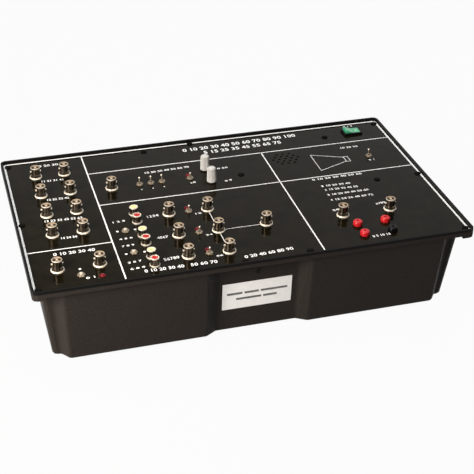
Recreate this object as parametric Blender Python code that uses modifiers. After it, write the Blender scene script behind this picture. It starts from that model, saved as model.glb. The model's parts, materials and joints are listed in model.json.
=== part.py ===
"""Spectrum analyzer trainer: a deep moulded case with a black panel of jacks, toggles, presets and a speaker."""
import math

import bmesh
import bpy
from mathutils import Matrix, Vector

# All lengths are in metres. X runs along the case, -Y is the front and Z = 0 is the table.

# Case: one moulded tub with a flange all round, two front bays and a recess between them
CASE_WIDTH = 0.420
CASE_DEPTH = 0.255
PANEL_TOP = 0.0874
FOOT_HEIGHT = 0.003
CASE_WALL = 0.002
SKIRT_HEIGHT = 0.0068
END_SKIRT_HEIGHT = 0.0092
END_SKIRT_REACH = 0.012
END_SKIRT_STEP = 0.0002
LIP_RISE = 0.003
SKIRT_CORNER = 0.005
SIDE_OVERHANG = 0.0082
FRONT_OVERHANG = 0.0055
SIDE_LEAN = 0.0078
FRONT_LEAN = 0.0096
FLOOR_ROUND = 0.002
RECESS_FLOOR_WIDTH = 0.079
RECESS_SLOPE_WIDTH = 0.0105
RECESS_DEPTH = 0.0064
RECESS_LEAN = 0.0065
BAY_END_INSET = 0.0143
BAY_END_SPREAD = 0.0045
BAY_STEP_WIDTH = 0.007
BAY_STEP_DEPTH = 0.0095
SOFT_CORNER = 0.004
LUG_LENGTH = 0.0168
LUG_HEIGHT = 0.007
LUG_DEPTH = 0.003
LUG_OFFSET = -0.0098
LUG_TIP_OFFSET = 0.0052
LUG_DROP = 0.0093

# Clearances and cuts
SEAT_GAP = 0.0003
RUN_GAP = 0.0003
OVERRUN = 0.001
WELD_DISTANCE = 0.000001
HOLE_SIDES = 8

# Panel, and the places of what it carries as shares of its half width and half depth
PANEL_THICKNESS = 0.0015
FILTER_COLUMN_SHARES = (-0.856, -0.7155)
FILTER_ROW_SHARES = (0.711, 0.387, 0.068, -0.237)
OTHER_JACK_SHARES = (
    (-0.877, -0.729), (-0.692, -0.729), (-0.516, 0.368),
    (-0.304, -0.155), (-0.304, -0.486), (-0.304, -0.792),
    (-0.119, -0.158), (-0.119, -0.492), (-0.119, -0.800),
    (0.110, -0.488), (0.478, -0.523), (0.7135, -0.523),
)
RCA_COLUMN_SHARE = -0.463
RCA_YELLOW_SHARES = (-0.084, -0.418, -0.728)
RCA_RED_SHARES = (-0.211, -0.5375, -0.842)
STEP_TOGGLE_SHARES = ((-0.378, 0.368), (-0.322, 0.368), (-0.267, 0.368))
SPEAKER_TOGGLE_SHARES = (0.8146, 0.359)
SOURCE_TOGGLE_SHARES = ((-0.126, 0.365), (-0.210, -0.155), (-0.210, -0.486), (-0.210, -0.793))
POWER_LAMP_SHARES = (-0.697, -0.882)
PRESET_SHARES = ((-0.785, -0.839), (-0.531, -0.320), (-0.531, -0.639))
KNOB_SHARES = ((-0.032, 0.479), (-0.032, 0.264))
BANANA_COLUMN_SHARES = (0.514, 0.650)
BANANA_ROW_SHARE = -0.687
SWITCH_SHARES = (0.827, 0.8275)
SPEAKER_SHARES = (0.395, 0.499)

# BNC jack
BNC_RADIUS = 0.0048
BNC_WALL = 0.0007
BNC_HEIGHT = 0.0117
BNC_BORE_DEPTH = 0.0085
BNC_CORE_RADIUS = 0.0024
BNC_CORE_DROP = 0.0015
BNC_NUT_RADIUS = 0.0064
BNC_NUT_HEIGHT = 0.002
BNC_THREAD_RADIUS = 0.0045
BNC_LUG_RADIUS = 0.001
BNC_LUG_REACH = 0.0055
BNC_LUG_DROP = 0.0047
BNC_SIDES = 10

# RCA jack
RCA_RADIUS = 0.00415
RCA_WALL = 0.0006
RCA_HEIGHT = 0.0084
RCA_BORE_DEPTH = 0.006
RCA_CORE_RADIUS = 0.0024
RCA_HOLE_RADIUS = 0.0016
RCA_NUT_RADIUS = 0.0049
RCA_NUT_HEIGHT = 0.0015
RCA_THREAD_RADIUS = 0.003
RCA_TAIL = 0.008
RCA_SIDES = 10

# Sub-miniature toggle switch
TOGGLE_CASE_WIDTH = 0.005
TOGGLE_CASE_DEPTH = 0.0066
TOGGLE_BUSH_RADIUS = 0.0029
TOGGLE_BUSH_RISE = 0.003
TOGGLE_PIVOT_RISE = 0.0002
TOGGLE_BALL_RADIUS = 0.0013
TOGGLE_NECK_RADIUS = 0.0008
TOGGLE_TIP_RADIUS = 0.0014
TOGGLE_LEVER_LENGTH = 0.008
TOGGLE_THROW = math.radians(24)
TOGGLE_SIDES = 8
BUSH_SIDES = 10

# Lamp: a 5 mm light-emitting diode pushed through the panel
LAMP_RADIUS = 0.0025
LAMP_RISE = 0.0022
LAMP_TAIL = 0.004
LAMP_SETBACK = 0.0064
LAMP_SIDES = 10

# Preset with a slotted shaft
PRESET_CASE_SIDE = 0.0075
PRESET_BUSH_RADIUS = 0.003
PRESET_BUSH_RISE = 0.0025
PRESET_SHAFT_RADIUS = 0.0016
PRESET_SHAFT_RISE = 0.0034
PRESET_SHAFT_TAIL = 0.004
PRESET_SLOT_WIDTH = 0.0006
PRESET_SLOT_DEPTH = 0.001

# Level control with a tall push-on knob
KNOB_RADIUS = 0.00485
KNOB_TOP_RADIUS = 0.0045
KNOB_HEIGHT = 0.0153
KNOB_LIFT = 0.0013
KNOB_STEM_RADIUS = 0.002
KNOB_STEM_LENGTH = 0.007
CONTROL_CASE_SIDE = 0.0095
CONTROL_BUSH_RADIUS = 0.0034
KNOB_SIDES = 16

# Banana socket
BANANA_RADIUS = 0.00465
BANANA_HEIGHT = 0.0047
BANANA_SHOULDER = 0.0012
BANANA_BORE_RADIUS = 0.002
BANANA_BORE_DEPTH = 0.012
BANANA_BODY_RADIUS = 0.004
BANANA_TAIL = 0.013
BANANA_SPACING = 0.019
BANANA_SIDES = 12

# Lit rocker switch for the mains
SWITCH_LENGTH = 0.021
SWITCH_WIDTH = 0.015
SWITCH_BEZEL = 0.002
SWITCH_RIM = 0.0018
SWITCH_BODY_INSET = 0.0013
SWITCH_BODY_DEPTH = 0.016
SWITCH_CORNER = 0.0012
ROCKER_PIVOT_RISE = 0.001
ROCKER_CROWN = 0.0012
ROCKER_HEEL = 0.0035
ROCKER_THROW = math.radians(22)

# Loudspeaker under a staggered pattern of holes
SPEAKER_RADIUS = 0.019
SPEAKER_RIM = 0.0015
SPEAKER_CONE_RADIUS = 0.0165
SPEAKER_CONE_DEPTH = 0.0045
SPEAKER_DOME_RADIUS = 0.005
SPEAKER_BASKET_DEPTH = 0.0062
SPEAKER_MAGNET_RADIUS = 0.0095
SPEAKER_DEPTH = 0.0102
SPEAKER_SIDES = 18
GRILLE_HOLE_RADIUS = 0.001
GRILLE_PITCH = 0.0068
GRILLE_ROW_PITCH = 0.0052
GRILLE_RINGS = 2
GRILLE_SIDES = 6

# Circuit board hung under the panel
BOARD_THICKNESS = 0.0016
BOARD_DROP = 0.012
BOARD_EDGE_GAP = 0.003
SPACER_RADIUS = 0.003
SPACER_SHARES = ((-0.90, 0.58), (0.86, 0.20), (0.86, -0.78), (0.30, -0.79))
CHIP_LENGTH = 0.020
CHIP_WIDTH = 0.0065
CHIP_HEIGHT = 0.0045
CHIP_SHARES = ((-0.42, 0.12), (-0.60, 0.02), (0.14, 0.10), (0.14, -0.22), (0.36, -0.08), (0.58, 0.02))
CAPACITOR_RADIUS = 0.004
CAPACITOR_HEIGHT = 0.0105
CAPACITOR_SHARES = ((0.66, -0.20), (0.74, -0.08), (0.30, 0.30))

# Mains transformer on the floor of the case
CORE_LENGTH = 0.048
CORE_WIDTH = 0.020
CORE_HEIGHT = 0.040
WINDING_LENGTH = 0.031
WINDING_WIDTH = 0.036
WINDING_HEIGHT = 0.026
STRAP_LENGTH = 0.066
STRAP_THICKNESS = 0.0015
STRAP_HOLE_RADIUS = 0.002
STRAP_HOLE_INSET = 0.0045
TRANSFORMER_SHARES = (0.55, 0.20)

# Mains inlet with a fuse drawer, in the back recess
INLET_LENGTH = 0.050
INLET_HEIGHT = 0.026
INLET_FLANGE = 0.002
INLET_BODY_INSET = 0.003
INLET_BODY_DEPTH = 0.021
INLET_CORNER = 0.002
INLET_RISE = 0.042
SOCKET_LENGTH = 0.024
SOCKET_HEIGHT = 0.016
SOCKET_CHAMFER = 0.004
SOCKET_DEPTH = 0.017
SOCKET_OFFSET = 0.0085
PIN_THICKNESS = 0.002
PIN_HEIGHT = 0.004
PIN_LENGTH = 0.012
PIN_SPACING = 0.014
PIN_STAGGER = 0.004
DRAWER_LENGTH = 0.012
DRAWER_HEIGHT = 0.018
DRAWER_OFFSET = 0.0145

# Rubber feet
FOOT_RADIUS = 0.008
FOOT_INSET = 0.022
FOOT_SIDES = 12

HALF_WIDTH = CASE_WIDTH / 2
HALF_DEPTH = CASE_DEPTH / 2
SKIRT_TOP = PANEL_TOP + LIP_RISE
SKIRT_BOTTOM = SKIRT_TOP - SKIRT_HEIGHT
END_SKIRT_BOTTOM = SKIRT_TOP - END_SKIRT_HEIGHT
PANEL_BOTTOM = PANEL_TOP - PANEL_THICKNESS
PANEL_HALF_X = HALF_WIDTH - CASE_WALL - SEAT_GAP
PANEL_HALF_Y = HALF_DEPTH - CASE_WALL - SEAT_GAP
PANEL_CORNER = SKIRT_CORNER
BOARD_TOP = PANEL_BOTTOM - BOARD_DROP
BOARD_BOTTOM = BOARD_TOP - BOARD_THICKNESS
FLOOR_TOP = FOOT_HEIGHT + CASE_WALL
LEAN_HEIGHT = SKIRT_BOTTOM - FOOT_HEIGHT

for old in list(bpy.data.objects):
    bpy.data.objects.remove(old, do_unlink=True)
trainer = bpy.data.collections.new("spectrum_analyzer_trainer")
cutters = bpy.data.collections.new("cutters")
for group in (trainer, cutters):
    bpy.context.scene.collection.children.link(group)


def finish(name, colour, roughness, metallic=0.0):
    """A plain surface: its colour, how rough it is and whether it is metal."""
    material = bpy.data.materials.new(name)
    material.use_nodes = True
    shader = material.node_tree.nodes["Principled BSDF"]
    shader.inputs["Base Color"].default_value = (*colour, 1.0)
    shader.inputs["Roughness"].default_value = roughness
    shader.inputs["Metallic"].default_value = metallic
    return material


CASE_PLASTIC = finish("case_plastic", (0.020, 0.018, 0.019), 0.55)
PANEL_LAMINATE = finish("panel_laminate", (0.014, 0.013, 0.013), 0.28)
NICKEL = finish("nickel", (0.62, 0.57, 0.49), 0.25, 1.0)
YELLOW_RCA = finish("rca_yellow", (0.62, 0.46, 0.20), 0.30, 1.0)
RED_RCA = finish("rca_red", (0.60, 0.30, 0.25), 0.30, 1.0)
RED_LENS = finish("lamp_lens", (0.45, 0.01, 0.02), 0.15)
RED_PLASTIC = finish("red_plastic", (0.62, 0.03, 0.03), 0.35)
BLACK_PLASTIC = finish("black_plastic", (0.012, 0.012, 0.013), 0.40)
KNOB_PLASTIC = finish("knob_plastic", (0.62, 0.61, 0.60), 0.45)
GREEN_ROCKER = finish("rocker_green", (0.01, 0.30, 0.10), 0.20)
BOARD_GREEN = finish("board_laminate", (0.02, 0.12, 0.05), 0.50)
CORE_STEEL = finish("core_steel", (0.22, 0.22, 0.23), 0.50, 0.8)
SPEAKER_STEEL = finish("speaker_steel", (0.30, 0.30, 0.31), 0.45, 0.7)
FOOT_RUBBER = finish("foot_rubber", (0.018, 0.018, 0.018), 0.85)


def new_piece(name, mesh, group=trainer):
    piece = bpy.data.objects.new(name, mesh)
    group.objects.link(piece)
    return piece


def evaluated_mesh(piece):
    """The mesh that the piece's modifiers or its curve make, with any loose caps welded to its sides."""
    graph = bpy.context.evaluated_depsgraph_get()
    mesh = bpy.data.meshes.new_from_object(piece.evaluated_get(graph))
    shape = bmesh.new()
    shape.from_mesh(mesh)
    bmesh.ops.remove_doubles(shape, verts=shape.verts, dist=WELD_DISTANCE)
    bmesh.ops.recalc_face_normals(shape, faces=shape.faces)
    shape.to_mesh(mesh)
    shape.free()
    return mesh


def box(name, low, high, group=trainer):
    """A block between two opposite corners."""
    shape = bmesh.new()
    middle = (Vector(low) + Vector(high)) / 2
    sides = Vector(high) - Vector(low)
    bmesh.ops.create_cube(shape, size=1, matrix=Matrix.Translation(middle) @ Matrix.Diagonal((*sides, 1)))
    mesh = bpy.data.meshes.new(name)
    shape.to_mesh(mesh)
    shape.free()
    return new_piece(name, mesh, group)


def boxes(name, middles, sides, low, high, group=cutters):
    """Blocks of one size, each standing from low to high on its own middle."""
    shape = bmesh.new()
    for middle in middles:
        centre = Vector((middle[0], middle[1], (low + high) / 2))
        size = Matrix.Diagonal((sides[0], sides[1], high - low, 1))
        bmesh.ops.create_cube(shape, size=1, matrix=Matrix.Translation(centre) @ size)
    mesh = bpy.data.meshes.new(name)
    shape.to_mesh(mesh)
    shape.free()
    return new_piece(name, mesh, group)


def posts(name, middles, radius, low, high, sides, group=cutters):
    """Upright round posts of one size, each on its own middle."""
    shape = bmesh.new()
    for middle in middles:
        centre = Matrix.Translation((middle[0], middle[1], (low + high) / 2))
        bmesh.ops.create_cone(
            shape, cap_ends=True, segments=sides, radius1=radius, radius2=radius, depth=high - low, matrix=centre
        )
    mesh = bpy.data.meshes.new(name)
    shape.to_mesh(mesh)
    shape.free()
    return new_piece(name, mesh, group)


def plate(name, outlines, low, high, group=trainer):
    """A flat sheet from low to high: the first outline is its edge and the others are holes in it."""
    curve = bpy.data.curves.new(name, "CURVE")
    curve.dimensions = "2D"
    curve.fill_mode = "BOTH"
    curve.extrude = (high - low) / 2
    for outline in outlines:
        spline = curve.splines.new("POLY")
        spline.points.add(len(outline) - 1)
        for point, place in zip(spline.points, outline):
            point.co = (place[0], place[1], 0, 1)
        spline.use_cyclic_u = True
    sheet = new_piece(name + "_outline", curve, group)
    mesh = evaluated_mesh(sheet)
    bpy.data.objects.remove(sheet, do_unlink=True)
    mesh.transform(Matrix.Translation((0, 0, (low + high) / 2)))
    return new_piece(name, mesh, group)


def turned(name, profile, sides, group=trainer):
    """A turned solid: profile lists (radius, height) from the axis at its top down to the axis at its foot."""
    mesh = bpy.data.meshes.new(name)
    edges = [(i, i + 1) for i in range(len(profile) - 1)]
    mesh.from_pydata([(radius, 0, height) for radius, height in profile], edges, [])
    piece = new_piece(name, mesh, group)
    screw = piece.modifiers.new("turn", "SCREW")
    screw.steps = sides
    screw.render_steps = sides
    screw.use_merge_vertices = True
    screw.merge_threshold = WELD_DISTANCE
    return piece


def combine(piece, other, operation):
    """Cuts the other shape from the piece, or joins it to the piece."""
    other.hide_render = True
    other.display_type = "WIRE"
    for group in list(other.users_collection):
        group.objects.unlink(other)
    cutters.objects.link(other)
    modifier = piece.modifiers.new(other.name, "BOOLEAN")
    modifier.operation = operation
    modifier.object = other


def cut(piece, other):
    combine(piece, other, "DIFFERENCE")


def join(piece, other):
    combine(piece, other, "UNION")


def dress(piece, material, crease=math.radians(35)):
    """Gives the piece its finish, and smooth shading except at its sharp edges."""
    if piece.modifiers:
        mesh = evaluated_mesh(piece)
        piece.modifiers.clear()
        piece.data = mesh
    piece.data.materials.clear()
    piece.data.materials.append(material)
    piece.data.shade_smooth()
    piece.data.set_sharp_from_angle(angle=crease)
    return piece


def copies(master, name, places, material):
    """One object on each place, all with the master's mesh."""
    dress(master, material)
    for number, place in enumerate(places, 1):
        piece = new_piece(f"{name}_{number:02d}", master.data)
        piece.location = place
    bpy.data.objects.remove(master, do_unlink=True)


def on_panel(shares):
    """The point of the panel's top at these shares of its half width and half depth."""
    return Vector((shares[0] * PANEL_HALF_X, shares[1] * PANEL_HALF_Y, PANEL_TOP))


def circle(middle, radius, sides):
    turns = [2 * math.pi * step / sides for step in range(sides)]
    return [(middle[0] + radius * math.cos(turn), middle[1] + radius * math.sin(turn)) for turn in turns]


def softened(corners, radii, steps=2):
    """The closed outline through these corners, each one rounded to its radius by an arc of so many steps."""
    outline = []
    count = len(corners)
    for index, radius in enumerate(radii):
        corner = Vector(corners[index])
        before = (Vector(corners[index - 1]) - corner).normalized()
        after = (Vector(corners[(index + 1) % count]) - corner).normalized()
        half_angle = before.angle(after) / 2
        centre = corner + (before + after).normalized() * radius / math.sin(half_angle)
        start = corner + before * radius / math.tan(half_angle) - centre
        turn = (math.pi - 2 * half_angle) * (1 if before.cross(after) < 0 else -1)
        for step in range(steps + 1):
            spoke = start.copy()
            spoke.rotate(Matrix.Rotation(turn * step / steps, 2))
            outline.append(tuple(centre + spoke))
    return outline


def block_outline(half_x, half_y, radius, steps=2):
    """A rectangle with rounded corners, anticlockwise from the front right corner."""
    corners = [(half_x, -half_y), (half_x, half_y), (-half_x, half_y), (-half_x, -half_y)]
    return softened(corners, [radius] * len(corners), steps)


JACK_PLACES = [on_panel((x, y)) for x in FILTER_COLUMN_SHARES for y in FILTER_ROW_SHARES]
JACK_PLACES += [on_panel(shares) for shares in OTHER_JACK_SHARES]
YELLOW_PLACES = [on_panel((RCA_COLUMN_SHARE, y)) for y in RCA_YELLOW_SHARES]
RED_PLACES = [on_panel((RCA_COLUMN_SHARE, y)) for y in RCA_RED_SHARES]
BACK_TOGGLES = [on_panel(shares) for shares in (*STEP_TOGGLE_SHARES, SPEAKER_TOGGLE_SHARES)]
FRONT_TOGGLES = [on_panel(shares) for shares in SOURCE_TOGGLE_SHARES]
LAMP_PLACES = [place + Vector((0, LAMP_SETBACK, 0)) for place in FRONT_TOGGLES] + [on_panel(POWER_LAMP_SHARES)]
PRESET_PLACES = [on_panel(shares) for shares in PRESET_SHARES]
KNOB_PLACES = [on_panel(shares) for shares in KNOB_SHARES]
BANANA_PLACES = [
    on_panel((x, BANANA_ROW_SHARE)) - Vector((0, row * BANANA_SPACING, 0))
    for x in BANANA_COLUMN_SHARES
    for row in range(2)
]
SWITCH_PLACE = on_panel(SWITCH_SHARES)
SPEAKER_PLACE = on_panel(SPEAKER_SHARES)


def lean_share(height):
    """How far up its leaning wall a height of the tub is, from 0 at the floor to 1 under the flange."""
    return (height - FOOT_HEIGHT) / LEAN_HEIGHT


def side_reach(height):
    return HALF_WIDTH - SIDE_OVERHANG - SIDE_LEAN * (1 - lean_share(height))


def bay_reach(height):
    return HALF_DEPTH - FRONT_OVERHANG - FRONT_LEAN * (1 - lean_share(height))


def recess_reach(height):
    return bay_reach(FOOT_HEIGHT) - RECESS_DEPTH + RECESS_LEAN * lean_share(height)


def tub_corners(height):
    """The tub's outline at a height, anticlockwise from the middle of its front, before its corners are softened."""
    bay_end = side_reach(height) - BAY_END_INSET - BAY_END_SPREAD * lean_share(height)
    corner_reach = bay_reach(height) - BAY_STEP_DEPTH
    quarter = [
        (RECESS_FLOOR_WIDTH / 2, recess_reach(height)),
        (RECESS_FLOOR_WIDTH / 2 + RECESS_SLOPE_WIDTH, bay_reach(height)),
        (bay_end, bay_reach(height)),
        (bay_end + BAY_STEP_WIDTH, corner_reach),
        (side_reach(height), corner_reach),
    ]
    front_right = [(x, -y) for x, y in quarter]
    back_right = list(reversed(quarter))
    back_left = [(-x, y) for x, y in quarter]
    front_left = [(-x, -y) for x, y in reversed(quarter)]
    return front_right + back_right + back_left + front_left


def drawn_in(corners, inset):
    """The same outline with each of its sides moved inwards by the inset."""
    moved = []
    for index, corner in enumerate(corners):
        before = (Vector(corner) - Vector(corners[index - 1])).normalized()
        after = (Vector(corners[(index + 1) % len(corners)]) - Vector(corner)).normalized()
        first = Vector((-before.y, before.x))
        second = Vector((-after.y, after.x))
        moved.append(tuple(Vector(corner) + inset * (first + second) / (1 + first.dot(second))))
    return moved


def tub_ring(height, inset=0.0):
    corners = drawn_in(tub_corners(height), inset)
    return [(x, y, height) for x, y in softened(corners, [SOFT_CORNER] * len(corners))]


def skirt_ring(height):
    """The flange's edge, with one point straight out from each point of the tub's outline under it."""
    ring = []
    points = tub_ring(SKIRT_BOTTOM)
    edge = block_outline(HALF_WIDTH, HALF_DEPTH, SKIRT_CORNER)
    arc = len(edge) // 4
    half_turn = len(points) // arc // 2
    for index, (x, y, _) in enumerate(points):
        side, corner = divmod(index // arc, half_turn)
        place = corner - half_turn // 2 + 1
        if place in (0, 1):
            ring.append((*edge[(2 * side + place) * arc + index % arc], height))
        else:
            ring.append((x, math.copysign(HALF_DEPTH, y), height))
    return ring


def loft(name, rings):
    """An open skin through rings of as many points each, closed flat across the first ring."""
    shape = bmesh.new()
    levels = [[shape.verts.new(point) for point in ring] for ring in rings]
    shape.faces.new(reversed(levels[0]))
    for lower, upper in zip(levels, levels[1:]):
        for index in range(len(lower)):
            after = (index + 1) % len(lower)
            shape.faces.new((lower[index], lower[after], upper[after], upper[index]))
    mesh = bpy.data.meshes.new(name)
    shape.to_mesh(mesh)
    shape.free()
    return new_piece(name, mesh)


def base_tub():
    corner_rise = FLOOR_ROUND * (1 - math.cos(math.pi / 4))
    rings = [
        tub_ring(FOOT_HEIGHT, FLOOR_ROUND),
        tub_ring(FOOT_HEIGHT + corner_rise, corner_rise),
        tub_ring(FOOT_HEIGHT + FLOOR_ROUND),
        tub_ring(SKIRT_BOTTOM),
        skirt_ring(SKIRT_BOTTOM),
        skirt_ring(SKIRT_TOP),
    ]
    tub = loft("base_tub", rings)
    shell = tub.modifiers.new("wall", "SOLIDIFY")
    shell.thickness = CASE_WALL
    shell.offset = -1
    shell.use_even_offset = True
    shell.use_quality_normals = True
    hole = box(
        "inlet_hole",
        (-INLET_LENGTH / 2 + INLET_BODY_INSET - SEAT_GAP, -INLET_BODY_DEPTH, -inlet_body_half() - SEAT_GAP),
        (INLET_LENGTH / 2 - INLET_BODY_INSET + SEAT_GAP, INLET_BODY_DEPTH, inlet_body_half() + SEAT_GAP),
        cutters,
    )
    place_inlet(hole)
    cut(tub, hole)
    join(tub, end_skirts())
    join(tub, front_lug())
    dress(tub, CASE_PLASTIC)


def end_skirts():
    """The lower edge that the flange's skirt has round both ends, a small step in from its face."""
    half_x = HALF_WIDTH - END_SKIRT_STEP
    half_y = HALF_DEPTH - END_SKIRT_STEP
    corner = SKIRT_CORNER - END_SKIRT_STEP
    outer = block_outline(half_x, half_y, corner)
    inner = block_outline(half_x - CASE_WALL, half_y - CASE_WALL, corner - CASE_WALL)
    skirts = plate("end_skirts", [outer, inner], END_SKIRT_BOTTOM, SKIRT_BOTTOM + CASE_WALL / 2, cutters)
    reach = HALF_WIDTH - END_SKIRT_REACH
    low = (-reach, -HALF_DEPTH, END_SKIRT_BOTTOM - OVERRUN)
    cut(skirts, box("middle_of_skirts", low, (reach, HALF_DEPTH, SKIRT_TOP), cutters))
    return skirts


def front_lug():
    """A three-cornered lug that stands out from the wall of the front recess, point down."""
    top = SKIRT_BOTTOM - LUG_DROP
    wall = recess_reach(top - LUG_HEIGHT / 2)
    outline = [
        (LUG_OFFSET - LUG_LENGTH / 2, top),
        (LUG_OFFSET + LUG_TIP_OFFSET, top - LUG_HEIGHT),
        (LUG_OFFSET + LUG_LENGTH / 2, top),
    ]
    lug = plate("front_lug", [outline], wall - CASE_WALL / 2, wall + LUG_DEPTH, cutters)
    lug.data.transform(Matrix.Rotation(math.pi / 2, 4, "X"))
    return lug


def inlet_body_half():
    return INLET_HEIGHT / 2 - INLET_BODY_INSET


def place_inlet(piece):
    """Sets a piece that faces +Y on the back recess, whose wall leans outwards going up."""
    piece.location = (0, recess_reach(INLET_RISE), INLET_RISE)
    piece.rotation_euler = (-math.atan2(RECESS_LEAN, LEAN_HEIGHT), 0, 0)


def grille_places():
    """Staggered rows of holes in a six-sided field, the longest row in the middle."""
    places = []
    for row in range(-GRILLE_RINGS, GRILLE_RINGS + 1):
        count = 2 * GRILLE_RINGS + 1 - abs(row)
        for column in range(count):
            x = (column - (count - 1) / 2) * GRILLE_PITCH
            places.append(SPEAKER_PLACE + Vector((x, row * GRILLE_ROW_PITCH, 0)))
    return places


def hole(place, radius, sides=HOLE_SIDES):
    """A hole whose flats clear a round body of this radius."""
    return circle(place, (radius + SEAT_GAP) / math.cos(math.pi / sides), sides)


def top_panel():
    """The black panel: one sheet with a hole for each thing that comes through it."""
    holes = [hole(place, BNC_THREAD_RADIUS) for place in JACK_PLACES]
    holes += [hole(place, RCA_THREAD_RADIUS) for place in YELLOW_PLACES + RED_PLACES]
    holes += [hole(place, TOGGLE_BUSH_RADIUS) for place in BACK_TOGGLES + FRONT_TOGGLES]
    holes += [hole(place, LAMP_RADIUS) for place in LAMP_PLACES]
    holes += [hole(place, PRESET_BUSH_RADIUS) for place in PRESET_PLACES]
    holes += [hole(place, CONTROL_BUSH_RADIUS) for place in KNOB_PLACES]
    holes += [hole(place, BANANA_BODY_RADIUS) for place in BANANA_PLACES]
    holes += [circle(place, GRILLE_HOLE_RADIUS, GRILLE_SIDES) for place in grille_places()]
    half_x = SWITCH_LENGTH / 2 - SWITCH_BODY_INSET + SEAT_GAP
    half_y = SWITCH_WIDTH / 2 - SWITCH_BODY_INSET + SEAT_GAP
    middle = SWITCH_PLACE
    holes.append([(middle.x + x * half_x, middle.y + y * half_y) for x, y in ((1, -1), (1, 1), (-1, 1), (-1, -1))])
    edge = block_outline(PANEL_HALF_X, PANEL_HALF_Y, PANEL_CORNER)
    dress(plate("top_panel", [edge, *holes], PANEL_BOTTOM, PANEL_TOP), PANEL_LAMINATE)


def bnc_jacks():
    """Bulkhead jacks: a nut on the panel, a barrel with two bayonet lugs, and a round core in the bore."""
    profile = [
        (0, BNC_HEIGHT - BNC_CORE_DROP),
        (BNC_CORE_RADIUS, BNC_HEIGHT - BNC_CORE_DROP),
        (BNC_CORE_RADIUS, BNC_HEIGHT - BNC_BORE_DEPTH),
        (BNC_RADIUS - BNC_WALL, BNC_HEIGHT - BNC_BORE_DEPTH),
        (BNC_RADIUS - BNC_WALL, BNC_HEIGHT),
        (BNC_RADIUS, BNC_HEIGHT),
        (BNC_RADIUS, SEAT_GAP + BNC_NUT_HEIGHT),
        (BNC_NUT_RADIUS, SEAT_GAP + BNC_NUT_HEIGHT),
        (BNC_NUT_RADIUS, SEAT_GAP),
        (BNC_THREAD_RADIUS, SEAT_GAP),
        (BNC_THREAD_RADIUS, BOARD_TOP + SEAT_GAP - PANEL_TOP),
        (0, BOARD_TOP + SEAT_GAP - PANEL_TOP),
    ]
    master = turned("bnc_jack", profile, BNC_SIDES)
    for side in (-1, 1):
        lug_root = BNC_RADIUS - BNC_WALL / 2
        lug = posts(
            f"bayonet_lug_{side}", [(0, 0)], BNC_LUG_RADIUS, lug_root, BNC_LUG_REACH, 6
        )
        lug.data.transform(Matrix.Rotation(side * math.pi / 2, 4, "Y"))
        lug.location = (0, 0, BNC_HEIGHT - BNC_LUG_DROP)
        join(master, lug)
    copies(master, "bnc_jack", JACK_PLACES, NICKEL)


def rca_master():
    profile = [
        (0, RCA_HEIGHT - RCA_BORE_DEPTH),
        (RCA_HOLE_RADIUS, RCA_HEIGHT - RCA_BORE_DEPTH),
        (RCA_HOLE_RADIUS, RCA_HEIGHT),
        (RCA_CORE_RADIUS, RCA_HEIGHT),
        (RCA_CORE_RADIUS, RCA_HEIGHT - RCA_BORE_DEPTH),
        (RCA_RADIUS - RCA_WALL, RCA_HEIGHT - RCA_BORE_DEPTH),
        (RCA_RADIUS - RCA_WALL, RCA_HEIGHT),
        (RCA_RADIUS, RCA_HEIGHT),
        (RCA_RADIUS, SEAT_GAP + RCA_NUT_HEIGHT),
        (RCA_NUT_RADIUS, SEAT_GAP + RCA_NUT_HEIGHT),
        (RCA_NUT_RADIUS, SEAT_GAP),
        (RCA_THREAD_RADIUS, SEAT_GAP),
        (RCA_THREAD_RADIUS, -RCA_TAIL),
        (0, -RCA_TAIL),
    ]
    return turned("rca_jack", profile, RCA_SIDES)


def rca_jacks():
    """Phono sockets in pairs: a yellow one behind a red one in each channel."""
    copies(rca_master(), "rca_jack_yellow", YELLOW_PLACES, YELLOW_RCA)
    copies(rca_master(), "rca_jack_red", RED_PLACES, RED_RCA)


def toggle_levers():
    """Bat levers, each thrown to one side about a ball inside its bushing."""
    ball = TOGGLE_BALL_RADIUS
    length = TOGGLE_LEVER_LENGTH
    neck_start = math.sqrt(ball**2 - TOGGLE_NECK_RADIUS**2)
    profile = [
        (0, length),
        (TOGGLE_TIP_RADIUS * math.sin(math.pi / 4), length),
        (TOGGLE_TIP_RADIUS, length - TOGGLE_TIP_RADIUS),
        (TOGGLE_NECK_RADIUS, neck_start + ball),
        (TOGGLE_NECK_RADIUS, neck_start),
        (ball, 0),
        (ball * math.sin(math.pi / 4), -ball * math.cos(math.pi / 4)),
        (0, -ball),
    ]
    master = dress(turned("toggle_lever", profile, TOGGLE_SIDES), NICKEL)
    thrown = [(place, -1) for place in BACK_TOGGLES] + [(place, 1) for place in FRONT_TOGGLES]
    for number, (place, side) in enumerate(thrown, 1):
        lever = new_piece(f"toggle_lever_{number:02d}", master.data)
        lever.location = place + Vector((0, 0, TOGGLE_PIVOT_RISE))
        lever.rotation_euler = (side * TOGGLE_THROW / 2, 0, 0)
    bpy.data.objects.remove(master, do_unlink=True)


def indicator_lamps():
    profile = [
        (0, LAMP_RISE),
        (LAMP_RADIUS * math.sin(math.pi / 4), LAMP_RISE - LAMP_RADIUS * (1 - math.cos(math.pi / 4))),
        (LAMP_RADIUS, 0),
        (LAMP_RADIUS, -LAMP_TAIL),
        (0, -LAMP_TAIL),
    ]
    copies(turned("lamp", profile, LAMP_SIDES), "indicator_lamp", LAMP_PLACES, RED_LENS)


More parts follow.
